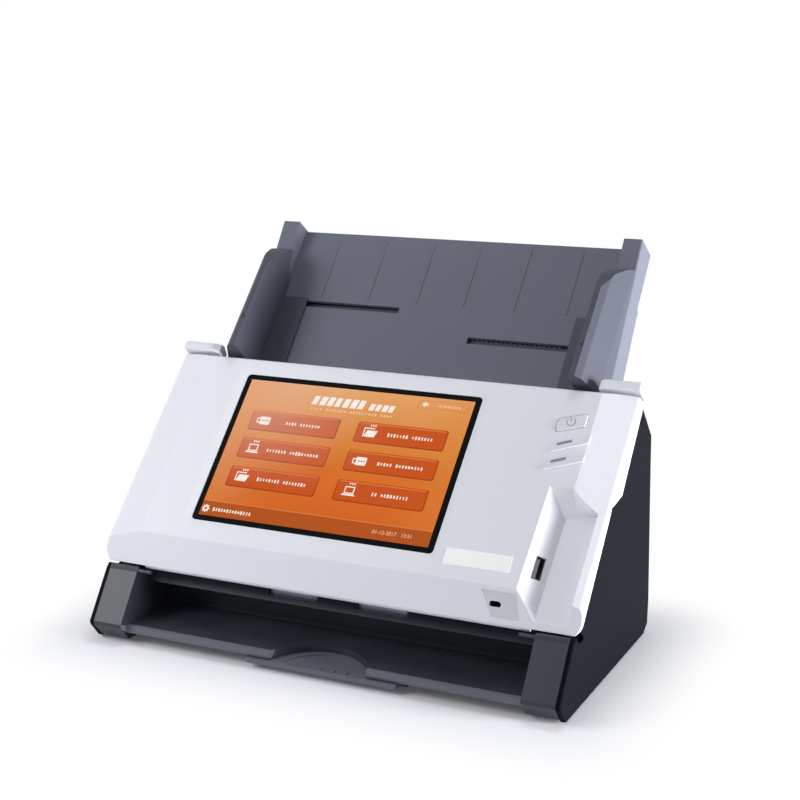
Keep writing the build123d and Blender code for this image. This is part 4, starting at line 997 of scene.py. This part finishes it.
def make_world():
    """White room: plain white to the eye, softer as a light and in reflections."""
    world = bpy.data.worlds.new("studio")
    bpy.context.scene.world = world
    world.use_nodes = True
    tree = world.node_tree
    tree.nodes.clear()
    rays = add_node(tree, "ShaderNodeLightPath").outputs
    seen = maths(tree, "MAXIMUM", rays["Is Camera Ray"], rays["Is Transmission Ray"])
    dim = ranged(tree, rays["Is Glossy Ray"], 0.0, 1.0, ROOM_LIGHT, ROOM_REFLECTION)
    strength = maths(tree, "MAXIMUM", seen, dim)
    tint = mix_colours(tree, seen, (0.94, 0.96, 1.0, 1.0), (1.0, 1.0, 1.0, 1.0))
    light = add_node(tree, "ShaderNodeBackground", {"Color": tint, "Strength": strength})
    add_node(tree, "ShaderNodeOutputWorld", {"Surface": light.outputs[0]})


def make_softbox(name, place, target, size, power):
    """Square area lamp that looks at a point."""
    lamp = bpy.data.lights.new(name, "AREA")
    lamp.shape = "SQUARE"
    lamp.size = size
    lamp.energy = power
    softbox = bpy.data.objects.new(name, lamp)
    bpy.context.scene.collection.objects.link(softbox)
    away = Vector(place) - Vector(target)
    softbox.rotation_euler = away.to_track_quat("Z", "Y").to_euler()
    softbox.location = place


def make_lights():
    """Near key at the left front that falls off to the right, a low lamp at the right, a weak one above."""
    for name, values in LAMPS.items():
        make_softbox(name, *values)


def make_camera():
    """Camera at the photograph's viewing angle."""
    turn, lift, roll = (math.radians(a) for a in (CAMERA_TURN, CAMERA_LIFT, CAMERA_ROLL))
    right = Vector((math.cos(turn), math.sin(turn), 0.0))
    up = Vector((-math.sin(turn) * math.sin(lift), math.cos(turn) * math.sin(lift), math.cos(lift)))
    back = right.cross(up)
    rolled_right = math.cos(roll) * right + math.sin(roll) * up
    rolled_up = math.cos(roll) * up - math.sin(roll) * right
    data = bpy.data.cameras.new("camera")
    data.lens = CAMERA_LENS
    data.sensor_width = 36.0
    data.shift_x, data.shift_y = CAMERA_SHIFT
    data.clip_end = 60.0
    camera = bpy.data.objects.new("camera", data)
    matrix = Matrix((rolled_right, rolled_up, back)).transposed().to_4x4()
    matrix.translation = CAMERA_PLACE
    camera.matrix_world = matrix
    bpy.context.scene.collection.objects.link(camera)
    bpy.context.scene.camera = camera


# The scene itself

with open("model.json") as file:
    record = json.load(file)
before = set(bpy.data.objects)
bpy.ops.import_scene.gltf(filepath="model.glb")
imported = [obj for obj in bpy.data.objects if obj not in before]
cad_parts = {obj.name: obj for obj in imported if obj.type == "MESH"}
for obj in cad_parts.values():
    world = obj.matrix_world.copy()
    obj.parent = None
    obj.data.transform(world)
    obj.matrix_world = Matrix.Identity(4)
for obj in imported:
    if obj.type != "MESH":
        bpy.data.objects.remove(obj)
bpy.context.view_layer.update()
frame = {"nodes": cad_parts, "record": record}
bpy.context.scene.view_settings.view_transform = "Standard"
finishes = make_finishes()
dress_nodes(frame, finishes)
block_tree = make_block_row_tree()
make_picture(block_tree)
make_power_mark(finishes["mark_grey"])
# The ridges take the lighter charcoal that is painted light
make_grip_ridges(block_tree, finishes["charcoal_painted_light"])
make_guide_arrow(1, finishes["inner_black"])
make_guide_arrow(-1, finishes["inner_black"])
make_floor()
make_world()
make_lights()
make_camera()
